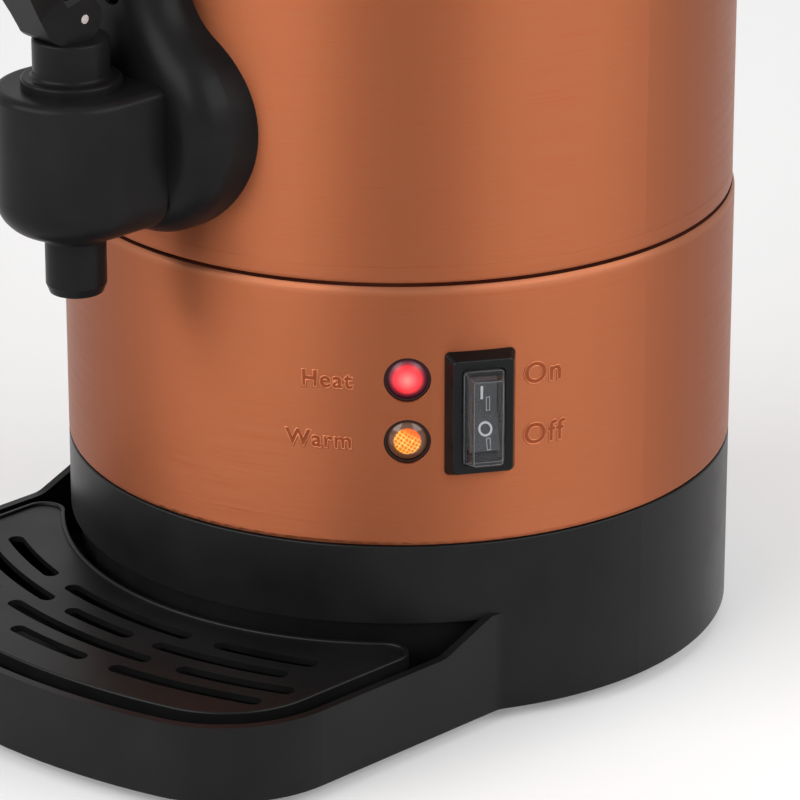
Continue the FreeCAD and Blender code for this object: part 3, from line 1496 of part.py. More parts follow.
def save(node, shape):
    """Write one node, moved so that the origin is at the middle of the footprint."""
    moved = shape.copy()
    moved.translate(V(0, axis_setback, 0))
    bad = [solid for solid in moved.Solids if not solid.isValid() or solid.Volume <= 0]
    print(f"{node}: {len(moved.Solids)} solids, {moved.Volume / 1000:.1f} cm3" + (" BAD" if bad else ""))
    solids = moved.Solids
    result = solids[0] if len(solids) == 1 else Part.makeCompound(solids)
    result.exportStep(f"parts/{node}.step")


os.makedirs("parts", exist_ok=True)

save("base_housing", make_base_housing())
save("bottom_cover", make_bottom_cover())
save("cover_screws", make_cover_screws())
foot_names = ("foot_front_right", "foot_rear_right", "foot_rear_left", "foot_front_left")
for name, place in zip(foot_names, foot_places()):
    save(name, make_foot(place))
save("drip_pan", make_drip_pan())
save("drip_grille", make_drip_grille())

save("control_band", make_control_band())
save("upper_shell", make_upper_shell())
save("inner_tank", make_inner_tank())
save("top_ring", make_top_ring())

save("lid_shell", make_lid_shell())
save("lid_liner", make_lid_liner())
save("lid_seal", make_lid_seal())
save("knob_base", make_knob_base())
save("lid_knob", make_lid_knob())
save("knob_screw", make_knob_screw())

save("handle_right", make_handle(1))
save("handle_left", make_handle(-1))
save("handle_screws", make_handle_screws())

save("gauge_housing", make_gauge_housing())
save("gauge_screw", make_gauge_screw())
save("gauge_elbow", make_gauge_elbow())
save("gauge_coupling", make_gauge_coupling())
save("sight_tube", make_sight_tube())
save("gauge_cap", make_gauge_cap())

save("tap_body", make_tap_body())
save("tap_washer_outer", make_tap_washer_outer())
save("tap_spacer", make_tap_spacer())
save("tap_washer_inner", make_tap_washer_inner())
save("tap_nut", make_tap_nut())
save("tap_bonnet", make_tap_bonnet())
save("tap_stem", make_tap_stem())
save("tap_seat_cup", make_seat_cup())
save("tap_spring", make_tap_spring())
save("tap_lever", make_tap_lever())
save("lever_pin", make_lever_pin())

save("heating_plate", make_heating_plate())
save("heating_element", make_heating_element())
save("boil_thermostat", make_thermostat(0, thermostat_height))
save("keep_warm_thermostat", make_thermostat(120, thermostat_height))
save("thermal_cutout", make_thermostat(240, thermostat_height + 3))
save("tie_studs", make_tie_studs())
save("stud_spacers", make_stud_spacers())
save("heat_shield", make_heat_shield())
save("stud_nuts", make_stud_nuts())

save("switch_body", make_switch_body())
save("switch_rocker", make_rocker())
save("switch_frame", make_switch_frame())
save("switch_cover", make_switch_cover())
save("heating_lamp_holder", make_lamp_holder(heating_lamp_height))
save("heating_lamp_lens", make_lamp_lens(heating_lamp_height))
save("warm_lamp_holder", make_lamp_holder(warm_lamp_height))
save("warm_lamp_lens", make_lamp_lens(warm_lamp_height))

save("power_inlet", make_power_inlet())
save("inlet_screws", make_inlet_screws())
save("terminal_block", make_terminal_block())
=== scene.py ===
# %% [markdown]
# # A copper-coloured hot water urn
# The urn comes in as a fixed frame: every solid has its real size and its real place, in metres. This lesson
# gives each solid the finish it has on the real urn. It also adds the thin things that a solid doesn't carry:
# the rolled seam, with a dark ring of painted shade down in it and a painted highlight under it, the words
# pressed into the band, with painted shade in their grooves and painted highlights on their beads, the marks
# on the rocker, painted highlights along the edges of its clear hood, the wound spring in the tap, and the
# litre marks of the sight gauge.

# %% Load the frame
import bpy
import math
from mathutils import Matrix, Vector


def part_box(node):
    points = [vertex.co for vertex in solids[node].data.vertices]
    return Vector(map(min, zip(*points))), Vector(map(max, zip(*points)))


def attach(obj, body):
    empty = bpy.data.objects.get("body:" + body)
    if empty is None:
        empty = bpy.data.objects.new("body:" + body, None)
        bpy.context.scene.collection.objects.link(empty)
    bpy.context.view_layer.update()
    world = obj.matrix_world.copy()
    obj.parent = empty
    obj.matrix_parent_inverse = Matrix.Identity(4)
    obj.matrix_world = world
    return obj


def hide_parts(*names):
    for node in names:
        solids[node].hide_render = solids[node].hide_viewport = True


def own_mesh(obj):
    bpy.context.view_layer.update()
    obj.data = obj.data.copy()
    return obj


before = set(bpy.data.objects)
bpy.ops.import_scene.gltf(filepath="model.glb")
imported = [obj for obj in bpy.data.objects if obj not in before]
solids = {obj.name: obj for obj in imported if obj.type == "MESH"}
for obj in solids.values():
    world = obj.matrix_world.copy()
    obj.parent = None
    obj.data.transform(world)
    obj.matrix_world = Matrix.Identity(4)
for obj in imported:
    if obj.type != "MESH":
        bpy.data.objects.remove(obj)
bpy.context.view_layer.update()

# %% [markdown]
# Nearly everything on the urn is round one upright axis, so that axis is worth finding first. The knob on the
# lid sits exactly on it, and the control band gives the radius and the height of the seam.

# %% Find the axis, the seam and the radius
knob_low, knob_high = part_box("lid_knob")
band_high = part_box("control_band")[1]
axis = (knob_low + knob_high) / 2
seam = band_high.z
band_radius = band_high.x
print("axis at y", round(axis.y, 5), "seam at", round(seam, 4), "radius", round(band_radius, 4))


def on_the_band(turn, below_seam, out=0.0):
    """A point on the band: turn in radians to the right of the tap, out in metres from its surface."""
    reach = band_radius + out
    return Vector((axis.x + reach * math.sin(turn), axis.y - reach * math.cos(turn), seam - below_seam))


# %% [markdown]
# The camera is a long lens, well back and a little above, 45 degrees round to the right of the tap. A long
# lens keeps the upright sides of the urn almost parallel, as they are in a catalogue picture.

# %% Camera
camera_turn = 45
camera_tilt = 68.5
camera_away = 1.1486
camera_above_seam = 0.5553
lens = bpy.data.cameras.new("camera")
lens.lens = 225
lens.sensor_width = 36
lens.shift_x = 0.0015
lens.clip_end = 50
camera = bpy.data.objects.new("camera", lens)
bpy.context.scene.collection.objects.link(camera)
camera.location = (axis.x + camera_away, axis.y - camera_away, seam + camera_above_seam)
camera.rotation_euler = (math.radians(camera_tilt), 0, math.radians(camera_turn))
bpy.context.scene.camera = camera
bpy.context.scene.view_settings.view_transform = "Standard"
print("camera", [round(v, 3) for v in camera.location])

# %% [markdown]
# Brushed metal shows its lights as upright bands, so the bands say where the lights stood: one large soft
# light to the left of the camera and one to the right, with a quieter stretch between them. Large area lights
# give soft edges, and a pale sky fills the rest.

# %% Soft lights
middle = Vector((axis.x, axis.y, 0.2))


def softbox(name, turn, distance, height, width, tall, watts):
    """A large soft light, turn in degrees to the right of the tap, facing the urn."""
    lamp = bpy.data.lights.new(name, "AREA")
    lamp.shape = "RECTANGLE"
    lamp.size = width
    lamp.size_y = tall
    lamp.energy = watts
    holder = bpy.data.objects.new(name, lamp)
    bpy.context.scene.collection.objects.link(holder)
    way = math.radians(turn)
    holder.location = (axis.x + distance * math.sin(way), axis.y - distance * math.cos(way), height)
    holder.rotation_euler = (middle - holder.location).to_track_quat("-Z", "Y").to_euler()
    print(name, [round(v, 2) for v in holder.location])


softbox("left_softbox", turn=-10, distance=2.0, height=1.2, width=2.7, tall=1.3, watts=47)
softbox("right_softbox", turn=103, distance=2.0, height=1.2, width=2.7, tall=1.3, watts=38)
softbox("top_softbox", turn=200, distance=1.1, height=1.6, width=1.2, tall=1.2, watts=6)

# %% [markdown]
# The sky sends a plain quiet light to the urn. Where the camera looks straight at it, or sees it in metal or
# through glass, it is pale.

# %% Sky
sky_plain = 0.3
sky_seen = 0.75
sky = bpy.data.worlds.new("sky")
bpy.context.scene.world = sky
sky.use_nodes = True


def brighter_when_seen(tree, plain, seen):
    """A level: `seen` for the camera and for what metal or glass shows, `plain` for all other light."""
    rays = tree.nodes.new("ShaderNodeLightPath")
    looked_at = rays.outputs["Is Camera Ray"]
    for kind in ("Is Glossy Ray", "Is Transmission Ray"):
        either = tree.nodes.new("ShaderNodeMath")
        either.operation = "MAXIMUM"
        tree.links.new(looked_at, either.inputs[0])
        tree.links.new(rays.outputs[kind], either.inputs[1])
        looked_at = either.outputs["Value"]
    level = tree.nodes.new("ShaderNodeMapRange")
    level.inputs["To Min"].default_value = plain
    level.inputs["To Max"].default_value = seen
    tree.links.new(looked_at, level.inputs["Value"])
    return level.outputs["Result"]


background = sky.node_tree.nodes["Background"]
background.inputs["Color"].default_value = (1, 1, 1, 1)
sky_level = brighter_when_seen(sky.node_tree, sky_plain, sky_seen)
sky.node_tree.links.new(sky_level, background.inputs["Strength"])
print("sky", sky_plain, "and", sky_seen, "where it is seen")


# %% [markdown]
# Every finish below starts the same way: a material, its one shader, and the piece's own coordinates. A few
# small helpers keep that short. `put` adds a node and fills or joins its sockets, `ramp` turns a grey pattern
# into two or more colours, `mapped` stretches a grey value, and `bumped` makes relief of it.

# %% Helpers for finishes
def new_finish(name):
    """A material, its shader, and coordinates in metres measured from the urn's axis."""
    finish = bpy.data.materials.new(name)
    finish.use_nodes = True
    shader = finish.node_tree.nodes["Principled BSDF"]
    coordinates = put(finish, "ShaderNodeTexCoord")
    place = put(finish, "ShaderNodeMapping", {"Vector": coordinates.outputs["Object"],
                                              "Location": (-axis.x, -axis.y, 0)})
    return finish, shader, place.outputs["Vector"]


def put(finish, kind, inputs=None, **settings):
    """Adds a node, sets what it is told, and joins any socket it is given."""
    node = finish.node_tree.nodes.new(kind)
    for key, value in settings.items():
        setattr(node, key, value)
    for key, value in (inputs or {}).items():
        if isinstance(value, bpy.types.NodeSocket):
            finish.node_tree.links.new(value, node.inputs[key])
        else:
            node.inputs[key].default_value = value
    return node


def join(finish, output, shader, socket):
    """Feeds one value of a pattern to the shader."""
    finish.node_tree.links.new(output, shader.inputs[socket])


def ramp(finish, value, *stops):
    """Colours along a grey value: each stop is (position, (r, g, b))."""
    node = put(finish, "ShaderNodeValToRGB", {"Fac": value})
    colours = node.color_ramp.elements
    while len(colours) < len(stops):
        colours.new(0.5)
    for element, (position, colour) in zip(colours, stops):
        element.position = position
        element.color = (*colour, 1)
    return node.outputs["Color"]


def mapped(finish, value, start, end, low, high, **settings):
    """Turns the stretch of a grey value from start to end into the stretch from low to high."""
    node = put(finish, "ShaderNodeMapRange", {"Value": value, "From Min": start, "From Max": end,
                                              "To Min": low, "To Max": high}, **settings)
    return node.outputs["Result"]


def mixed(finish, share, first, second):
    """Goes from the first colour to the second; a mix of colours keeps them in its inputs 6 and 7."""
    node = put(finish, "ShaderNodeMix", {"Factor": share, 6: first, 7: second}, data_type="RGBA")
    return node.outputs[2]


def bumped(finish, shader, pattern, depth):
    """Relief that follows a grey pattern, its depth in metres."""
    skin = put(finish, "ShaderNodeBump", {"Height": pattern, "Distance": depth, "Strength": 1.0})
    join(finish, skin.outputs["Normal"], shader, "Normal")


def sums(finish, operation, a, b=0.0):
    """One step of arithmetic on grey values."""
    return put(finish, "ShaderNodeMath", {0: a, 1: b}, operation=operation).outputs["Value"]


def times(finish, a, b):
    """One grey value times another."""
    return sums(finish, "MULTIPLY", a, b)


def plus(finish, a, b):
    """The sum of two grey values."""
    return sums(finish, "ADD", a, b)


def along(finish, operation, a, b=(0, 0, 0)):
    """One step of arithmetic on vectors."""
    node = put(finish, "ShaderNodeVectorMath", {0: a, 1: b}, operation=operation)
    return node.outputs["Value" if operation in ("LENGTH", "DOT_PRODUCT") else "Vector"]


def dress(finish, *names):
    """Gives a finish to solids of the frame."""
    for name in names:
        mesh = solids[name].data
        mesh.materials.clear()
        mesh.materials.append(finish)
    print(finish.name, "on", len(names), "solids")


# %% [markdown]
# ## Floor
# A plain pale sheet that keeps the urn's shadow. It looks a little whiter than its own colour, more so far
# from the urn, where the lamps don't reach and it has to meet the sky.

# %% Floor
floor_glow_seen = 0.16
urn_stands_within = 0.7
sky_begins = 3.0
glow_by_the_sky = 2.4
bpy.ops.mesh.primitive_circle_add(vertices=96, radius=6, fill_type="NGON", location=(axis.x, axis.y, 0))
floor = bpy.context.object
floor.name = "floor"
paper, paper_shader, paper_place = new_finish("paper_white")
paper_shader.inputs["Base Color"].default_value = (0.82, 0.82, 0.82, 1)
paper_shader.inputs["Roughness"].default_value = 0.9
paper_shader.inputs["Specular IOR Level"].default_value = 0.1
paper_shader.inputs["Emission Color"].default_value = (1, 1, 1, 1)
from_axis = along(paper, "LENGTH", paper_place)
more_far_off = mapped(paper, from_axis, urn_stands_within, sky_begins, 1.0, glow_by_the_sky)
near_glow = brighter_when_seen(paper.node_tree, 0.0, floor_glow_seen)
join(paper, times(paper, near_glow, more_far_off), paper_shader, "Emission Strength")
floor.data.materials.append(paper)
print("floor in", paper.name)


# %% [markdown]
# ## Black moulded plastic
# Handles, base, tap and tray are injection mouldings. The real surface has a fine spark-eroded grain with a
# satin shine, and slightly cloudier patches where it has been wiped. Noise at two sizes gives both: a small
# one bumps the surface, a large one changes how sharp the shine is.

# %% Moulded plastic
def moulded(name, colour, roughness, grain=0.0005, depth=0.00003, shine=0.5):
    """A moulding; grain is the width of its small bumps and depth their height, in metres."""
    finish, shader, place = new_finish(name)
    cloud = put(finish, "ShaderNodeTexNoise", {"Vector": place, "Scale": 28, "Detail": 5, "Roughness": 0.6})
    thin = 0.3
    thick = 0.7
    darker = tuple(c * 0.82 for c in colour)
    lighter = tuple(min(1, c * 1.2 + 0.002) for c in colour)
    clouded = ramp(finish, cloud.outputs["Fac"], (thin, darker), (thick, lighter))
    join(finish, clouded, shader, "Base Color")
    patches = mapped(finish, cloud.outputs["Fac"], thin, thick, roughness - 0.05, roughness + 0.06)
    join(finish, patches, shader, "Roughness")
    pits = put(finish, "ShaderNodeTexNoise", {"Vector": place, "Scale": 1 / grain, "Detail": 2})
    bumped(finish, shader, pits.outputs["Fac"], depth)
    shader.inputs["Specular IOR Level"].default_value = shine
    return finish


black_moulding = moulded("black_moulding", (0.005, 0.005, 0.0052), 0.36, shine=0.17)
black_tap = moulded("black_tap_plastic", (0.009, 0.009, 0.0095), 0.32, grain=0.0008, depth=0.00002,
                    shine=0.08)
black_switch = moulded("black_switch_plastic", (0.004, 0.0045, 0.005), 0.2, depth=0.000005, shine=0.16)
dark_switch = moulded("grey_rocker_plastic", (0.036, 0.037, 0.039), 0.55, depth=0.000002, shine=0.15)
lamp_rim = moulded("dark_lamp_rim", (0.014, 0.002, 0.001), 0.16, depth=0.000004, shine=0.2)
dress(black_moulding, "base_housing", "bottom_cover", "drip_pan", "drip_grille", "top_ring", "handle_right",
      "handle_left")
dress(black_tap, "gauge_housing", "tap_body", "tap_bonnet", "tap_lever", "lid_knob", "knob_base", "gauge_cap",
      "gauge_elbow", "power_inlet")
dress(black_switch, "switch_frame", "switch_body")
dress(lamp_rim, "heating_lamp_holder", "warm_lamp_holder")
dress(dark_switch, "switch_rocker")


# %% [markdown]
# ## Brushed metal
# The shell was brushed while it turned, so its scratches run round the urn, and on the lid they run in rings.
# A pattern that is fine along height and radius but long round the axis gives both. The shine of such a
# surface spreads across the scratches: the tangent follows them, and the anisotropy is turned a quarter.

# %% Brushed round the axis
scratches_per_metre = 8000
stretches_round = 5
scratch_depth = 0.000002


def spun(name, dark, light, roughness, anisotropy, gleam=0.04):
    """Metal brushed round the axis; gleam is how much duller its lighter scratches are."""
    finish, shader, place = new_finish(name)
    flat = along(finish, "MULTIPLY", place, (1, 1, 0))
    ring = along(finish, "NORMALIZE", flat)
    radius = along(finish, "LENGTH", flat)
    upright = along(finish, "MULTIPLY", place, (0, 0, scratches_per_metre))
    round_it = along(finish, "MULTIPLY", ring, (stretches_round, stretches_round, 0))
    scratch = put(finish, "ShaderNodeTexNoise", {"Vector": along(finish, "ADD", upright, round_it),
                                                 "W": times(finish, radius, scratches_per_metre),
                                                 "Scale": 1.0, "Detail": 3, "Roughness": 0.5},
                  noise_dimensions="4D").outputs["Fac"]
    faint = 0.25
    strong = 0.75
    join(finish, ramp(finish, scratch, (faint, dark), (strong, light)), shader, "Base Color")
    spread = mapped(finish, scratch, faint, strong, roughness - 0.03, roughness + gleam)
    join(finish, spread, shader, "Roughness")
    bumped(finish, shader, scratch, scratch_depth)
    join(finish, along(finish, "CROSS_PRODUCT", (0, 0, 1), ring), shader, "Tangent")
    shader.inputs["Metallic"].default_value = 1.0
    shader.inputs["Anisotropic"].default_value = anisotropy
    shader.inputs["Anisotropic Rotation"].default_value = 0.25
    return finish


def spun_copper(name):
    """The copper of shell, band and lid."""
    return spun(name, (0.335, 0.086, 0.031), (0.40, 0.142, 0.07), 0.38, 0.82, gleam=0.3)


copper = spun_copper("brushed_copper")
stainless = spun("brushed_stainless", (0.5, 0.5, 0.49), (0.64, 0.64, 0.63), 0.3, 0.7)
aluminium = spun("turned_aluminium", (0.56, 0.56, 0.57), (0.7, 0.7, 0.71), 0.38, 0.5)
dress(copper, "control_band", "upper_shell", "lid_shell")
dress(stainless, "inner_tank", "lid_liner")
dress(aluminium, "heating_plate", "heat_shield")


# %% [markdown]
# ## Small hardware
# Screws, studs and nuts are zinc plated, which looks faintly blotched and crystalline. Pins and springs are
# bright steel. The heating element has been red hot once, so it is brown and matt.

# %% Plated and heated metal
def plated(name, dark, light, roughness, size):
    """Metal in small blotches; size is the width of one, in metres."""
    finish, shader, place = new_finish(name)
    crystals = put(finish, "ShaderNodeTexVoronoi", {"Vector": place, "Scale": 1 / size}).outputs["Distance"]
    join(finish, ramp(finish, crystals, (0.1, dark), (0.8, light)), shader, "Base Color")
    join(finish, mapped(finish, crystals, 0, 1, roughness - 0.06, roughness + 0.1), shader, "Roughness")
    shader.inputs["Metallic"].default_value = 1.0
    return finish


zinc = plated("zinc_plate", (0.42, 0.43, 0.45), (0.62, 0.62, 0.63), 0.34, 0.0012)
bright_steel = plated("bright_steel", (0.5, 0.5, 0.5), (0.66, 0.66, 0.65), 0.22, 0.0006)
burnt_steel = plated("burnt_steel", (0.1, 0.08, 0.07), (0.24, 0.2, 0.17), 0.55, 0.004)
dress(zinc, "cover_screws", "handle_screws", "knob_screw", "gauge_screw", "tie_studs", "stud_spacers",
      "stud_nuts", "inlet_screws", "tap_nut")
dress(bright_steel, "tap_stem", "lever_pin", "tap_spring")
dress(burnt_steel, "heating_element")

# %% [markdown]
# ## Rubber, silicone, nylon and phenolic
# These are mouldings too, only softer or chalkier, so the same recipe serves with another colour and shine.
# Silicone also lets a little light in under its skin.

# %% Soft and hard mouldings
rubber = moulded("foot_rubber", (0.02, 0.02, 0.02), 0.8, grain=0.0007, depth=0.00005, shine=0.25)
silicone = moulded("milky_silicone", (0.62, 0.61, 0.57), 0.55, grain=0.001, depth=0.00002, shine=0.4)
nylon = moulded("cream_nylon", (0.68, 0.66, 0.6), 0.5, grain=0.001, depth=0.00002)
phenolic = moulded("brown_phenolic", (0.055, 0.032, 0.02), 0.42, grain=0.0012, depth=0.00002)
silicone_shader = silicone.node_tree.nodes["Principled BSDF"]
silicone_shader.inputs["Subsurface Weight"].default_value = 0.15
silicone_shader.inputs["Subsurface Radius"].default_value = (0.002, 0.002, 0.002)
dress(rubber, "foot_front_right", "foot_rear_right", "foot_rear_left", "foot_front_left")
dress(silicone, "lid_seal", "gauge_coupling", "tap_washer_outer", "tap_washer_inner", "tap_seat_cup")
dress(nylon, "tap_spacer", "terminal_block")
dress(phenolic, "boil_thermostat", "keep_warm_thermostat", "thermal_cutout")


# %% [markdown]
# ## Clear parts
# The sight tube is glass. The hood over the rocker is clear vinyl, which is duller and picks up a faint haze.

# %% Glass and vinyl
def clear(name, colour, roughness, ior, haze, passing=1.0):
    """A clear material; haze is how much duller its clouded places are, passing the light it lets through."""
    finish, shader, place = new_finish(name)
    shader.inputs["Base Color"].default_value = (*colour, 1)
    shader.inputs["Transmission Weight"].default_value = passing
    shader.inputs["IOR"].default_value = ior
    film = put(finish, "ShaderNodeTexNoise", {"Vector": place, "Scale": 140, "Detail": 3})
    join(finish, mapped(finish, film.outputs["Fac"], 0, 1, roughness, roughness + haze), shader, "Roughness")
    return finish


tube_glass = clear("sight_glass", (0.93, 0.97, 0.96), 0.01, 1.47, haze=0.02)
hood_vinyl = clear("hood_vinyl", (0.84, 0.85, 0.87), 0.02, 1.2, haze=0.03, passing=0.985)
dress(tube_glass, "sight_tube")
dress(hood_vinyl, "switch_cover")


# %% [markdown]
# ## Lit lamps
# The red lens is frosted and glows deepest in its middle, where the lamp sits, and its edge stays dark. The
# amber lens is clear and brown, with a small woven reflector glowing behind it. Both patterns are measured
# from the lens's own centre, across the band and upwards, so they stay where they are from every side.

# %% Lens coordinates
def lens_place(finish, place, name):
    """Distance across and up from the middle of a lens, and the share of its radius."""
    low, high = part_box(name)
    centre = (low + high) / 2 - Vector((axis.x, axis.y, 0))
    way = centre.copy()
    way.z = 0
    way.normalize()
    from_centre = along(finish, "SUBTRACT", place, tuple(centre))
    across = along(finish, "DOT_PRODUCT", from_centre, (-way.y, way.x, 0))
    up = along(finish, "DOT_PRODUCT", from_centre, (0, 0, 1))
    squares = plus(finish, times(finish, across, across), times(finish, up, up))
    radius = (high.z - low.z) / 2
    print(name, "radius", round(radius, 5))
    return across, up, times(finish, sums(finish, "SQRT", squares), 1 / radius)


# %% Red lens
red_lens, red_shader, red_place = new_finish("lit_red_lens")
_, _, share = lens_place(red_lens, red_place, "heating_lamp_lens")
red_body = ramp(red_lens, share, (0.0, (0.9, 0.08, 0.08)), (0.66, (0.5, 0.01, 0.02)),
                (0.9, (0.05, 0.006, 0.014)))
red_glow = ramp(red_lens, share, (0.0, (1.0, 0.24, 0.2)), (0.3, (1.0, 0.1, 0.1)), (0.5, (0.95, 0.03, 0.04)),
                (0.68, (0.6, 0.01, 0.015)), (0.82, (0.06, 0.006, 0.014)))
join(red_lens, red_body, red_shader, "Base Color")
join(red_lens, red_glow, red_shader, "Emission Color")
red_shader.inputs["Emission Strength"].default_value = 0.9
red_shader.inputs["Roughness"].default_value = 0.32
frost = put(red_lens, "ShaderNodeTexNoise", {"Vector": red_place, "Scale": 3000, "Detail": 1})
bumped(red_lens, red_shader, frost.outputs["Fac"], 0.00002)
dress(red_lens, "heating_lamp_lens")

# %% [markdown]
# The reflector's threads run aslant, in two directions at right angles. Each set is a sine wave without its
# sign, which gives round threads side by side, and a little noise bends them as a hand would.

# %% Amber lens
thread_pair = 0.0026
slant_across = 0.55
slant_up = 0.84
thread_bend = 0.0007
amber_lens, amber_shader, amber_place = new_finish("lit_amber_lens")
across, up, share = lens_place(amber_lens, amber_place, "warm_lamp_lens")
noise = put(amber_lens, "ShaderNodeTexNoise", {"Vector": amber_place, "Scale": 700, "Detail": 2})
wobble = noise.outputs["Fac"]
bent = times(amber_lens, sums(amber_lens, "SUBTRACT", wobble, 0.5), thread_bend)


def threads(finish, distance):
    """Round threads side by side along a distance: 0 between two threads and 1 on the top of one."""
    wave = sums(finish, "SINE", times(finish, distance, 2 * math.pi / thread_pair))
    return sums(finish, "ABSOLUTE", wave)


leaning = plus(amber_lens, times(amber_lens, across, slant_across), times(amber_lens, up, slant_up))
rising = sums(amber_lens, "SUBTRACT", times(amber_lens, across, slant_up),
              times(amber_lens, up, slant_across))
weft = threads(amber_lens, plus(amber_lens, leaning, bent))
warp = threads(amber_lens, sums(amber_lens, "SUBTRACT", rising, bent))
woven = sums(amber_lens, "MINIMUM", weft, warp)
uneven = plus(amber_lens, woven, times(amber_lens, wobble, 0.35))
grid = ramp(amber_lens, uneven, (0.14, (1.0, 0.66, 0.18)), (0.34, (0.85, 0.3, 0.03)),
            (0.75, (0.5, 0.12, 0.006)))
upper_corner = plus(amber_lens, up, times(amber_lens, across, 0.6))
redness = mapped(amber_lens, upper_corner, 0.0016, 0.0045, 0, 1)
reflector = mixed(amber_lens, redness, grid, (0.75, 0.09, 0.005, 1))
disc = ramp(amber_lens, share, (0.64, (1, 1, 1)), (0.72, (0, 0, 0)))
lit = mixed(amber_lens, disc, (0.13, 0.055, 0.028, 1), reflector)
glow_by_radius = ((0.0, 0.72), (0.62, 0.68), (0.72, 0.05), (1.0, 0.01))
glow = ramp(amber_lens, share, *[(radius, (grey, grey, grey)) for radius, grey in glow_by_radius])
join(amber_lens, lit, amber_shader, "Base Color")
join(amber_lens, lit, amber_shader, "Emission Color")
join(amber_lens, glow, amber_shader, "Emission Strength")
amber_shader.inputs["Roughness"].default_value = 0.12
dress(amber_lens, "warm_lamp_lens")

# %% [markdown]
# ## The rolled seam
# Where shell and band meet, both sheets roll inwards, and a dark ring down between them is painted shade in
# the gap. The top of the band's roll is painted paler copper, a painted highlight that makes the soft bright
# line under the seam. Fine rounds need a fine mesh, so each is turned here as its own ring: a circle of 256
# points, extruded and drawn in or out along the round, the way a lathe tool would follow it. The two rolled
# rings stand three hundredths of a millimetre off the sheet that they follow, and have its brushed finish.

# %% Turn a ring
def only(piece):
    """Makes this the one selected object."""
    bpy.ops.object.select_all(action="DESELECT")
    bpy.context.view_layer.objects.active = piece
    piece.select_set(True)


def turned_ring(name, section, finish, body):
    """A closed ring about the urn's axis; the section is a loop of (radius, height) points."""
    bpy.ops.object.select_all(action="DESELECT")
    radius, height = section[0]
    bpy.ops.mesh.primitive_circle_add(vertices=256, radius=radius, location=(axis.x, axis.y, height))
    ring = bpy.context.object
    ring.name = name
    bpy.ops.object.mode_set(mode="EDIT")
    for next_radius, next_height in section[1:] + section[:1]:
        bpy.ops.mesh.extrude_edges_move()
        share = next_radius / radius
        bpy.ops.transform.resize(value=(share, share, 1), center_override=(axis.x, axis.y, height))
        bpy.ops.transform.translate(value=(0, 0, next_height - height))
        radius, height = next_radius, next_height
    bpy.ops.mesh.select_all(action="SELECT")
    bpy.ops.mesh.remove_doubles(threshold=1e-6)
    bpy.ops.mesh.normals_make_consistent(inside=False)
    bpy.ops.object.mode_set(mode="OBJECT")
    bpy.ops.object.transform_apply()
    bpy.ops.object.shade_smooth_by_angle(angle=math.radians(40))
    ring.data.materials.append(finish)
    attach(ring, body)
    print(name, len(ring.data.polygons), "faces")


def rounded(centre_radius, centre_height, size, start, end, steps=8):
    """Points of a round, from one angle to another, in degrees up from outwards."""
    turns = [math.radians(start + (end - start) * k / steps) for k in range(steps + 1)]
    return [(centre_radius + size * math.cos(t), centre_height + size * math.sin(t)) for t in turns]


# %% Painted highlight on the band's roll
# Painted highlight: the band roll's copper turns paler towards the seam, standing in for the soft bright line
# that light makes there.
painted_highlight_begins = seam - 0.0042
painted_highlight_full = seam - 0.0016
painted_highlight_share = 0.3
painted_highlighted_colour = (0.58, 0.25, 0.14, 1)
rolled = spun_copper("rolled_copper_painted_highlight")
rolled_shader = rolled.node_tree.nodes["Principled BSDF"]
brushed_colour = rolled_shader.inputs["Base Color"].links[0].from_socket
rolled_place = rolled.node_tree.nodes["Mapping"].outputs["Vector"]
rolled_height = put(rolled, "ShaderNodeSeparateXYZ", {"Vector": rolled_place}).outputs["Z"]
painted_highlight = mapped(rolled, rolled_height, painted_highlight_begins, painted_highlight_full, 0, painted_highlight_share,
                 interpolation_type="SMOOTHSTEP")
join(rolled, mixed(rolled, painted_highlight, brushed_colour, painted_highlighted_colour), rolled_shader, "Base Color")
print(rolled.name, "painted highlight over", round((painted_highlight_full - painted_highlight_begins) * 1000, 1), "mm")

# %% Roll of the band and of the shell
stand_off = 0.00003
shell_step = 0.0008
shoulder = 0.0025
curl = 0.0018
flange = 0.006
flange_sheet = 0.0004
side_sheet = 0.0005
band_side = seam - 0.009
shell_side = seam + 0.006
shell_radius = band_radius - shell_step
band_roll = [(band_radius + stand_off, band_side)]
band_roll += rounded(band_radius - shoulder, seam - shoulder, shoulder + stand_off, 0, 90)
band_roll += [(band_radius - flange, seam + stand_off), (band_radius - flange, seam - flange_sheet)]
band_roll += [(band_radius - side_sheet, band_side)]
turned_ring("band_roll", band_roll, rolled, "urn")
shell_roll = [(shell_radius - flange, seam + flange_sheet)]
shell_roll += rounded(shell_radius - curl, seam + curl, curl + stand_off, -90, 0)
shell_roll += [(shell_radius + stand_off, shell_side), (shell_radius - side_sheet, shell_side)]
turned_ring("shell_roll", shell_roll, copper, "urn")

# %% Painted shade: a dark ring down in the seam
# Painted shade: a dark brown ring fills the groove between the two rolls, where shade falls in the gap.
painted_shade = moulded("seam_painted_shade", (0.024, 0.004, 0.0015), 0.6, grain=0.0006, depth=0.00002, shine=0.02)
painted_shade_size = 0.00065
painted_shade_in = 0.0014
painted_shade_down = 0.0001
painted_shade_ring = rounded(band_radius - painted_shade_in, seam - painted_shade_down, painted_shade_size, 0, 345, steps=23)
turned_ring("seam_painted_shade", painted_shade_ring, painted_shade, "urn")

# %% [markdown]
# ## Pressed words
# The words beside the lamps and the switch are pressed into the sheet: each stroke is a shallow groove, and
# the metal that it pushed aside stands up as a soft bead on both sides. The groove's floor is painted darker
# copper, painted shade, and the beads paler copper, a painted highlight. So each word is a text object used
# twice. Its outline, with a round bevel and no fill, becomes the beads, and its fill becomes the floor of the
# groove. Both are made meshes and laid round the band by turning their width into an angle.

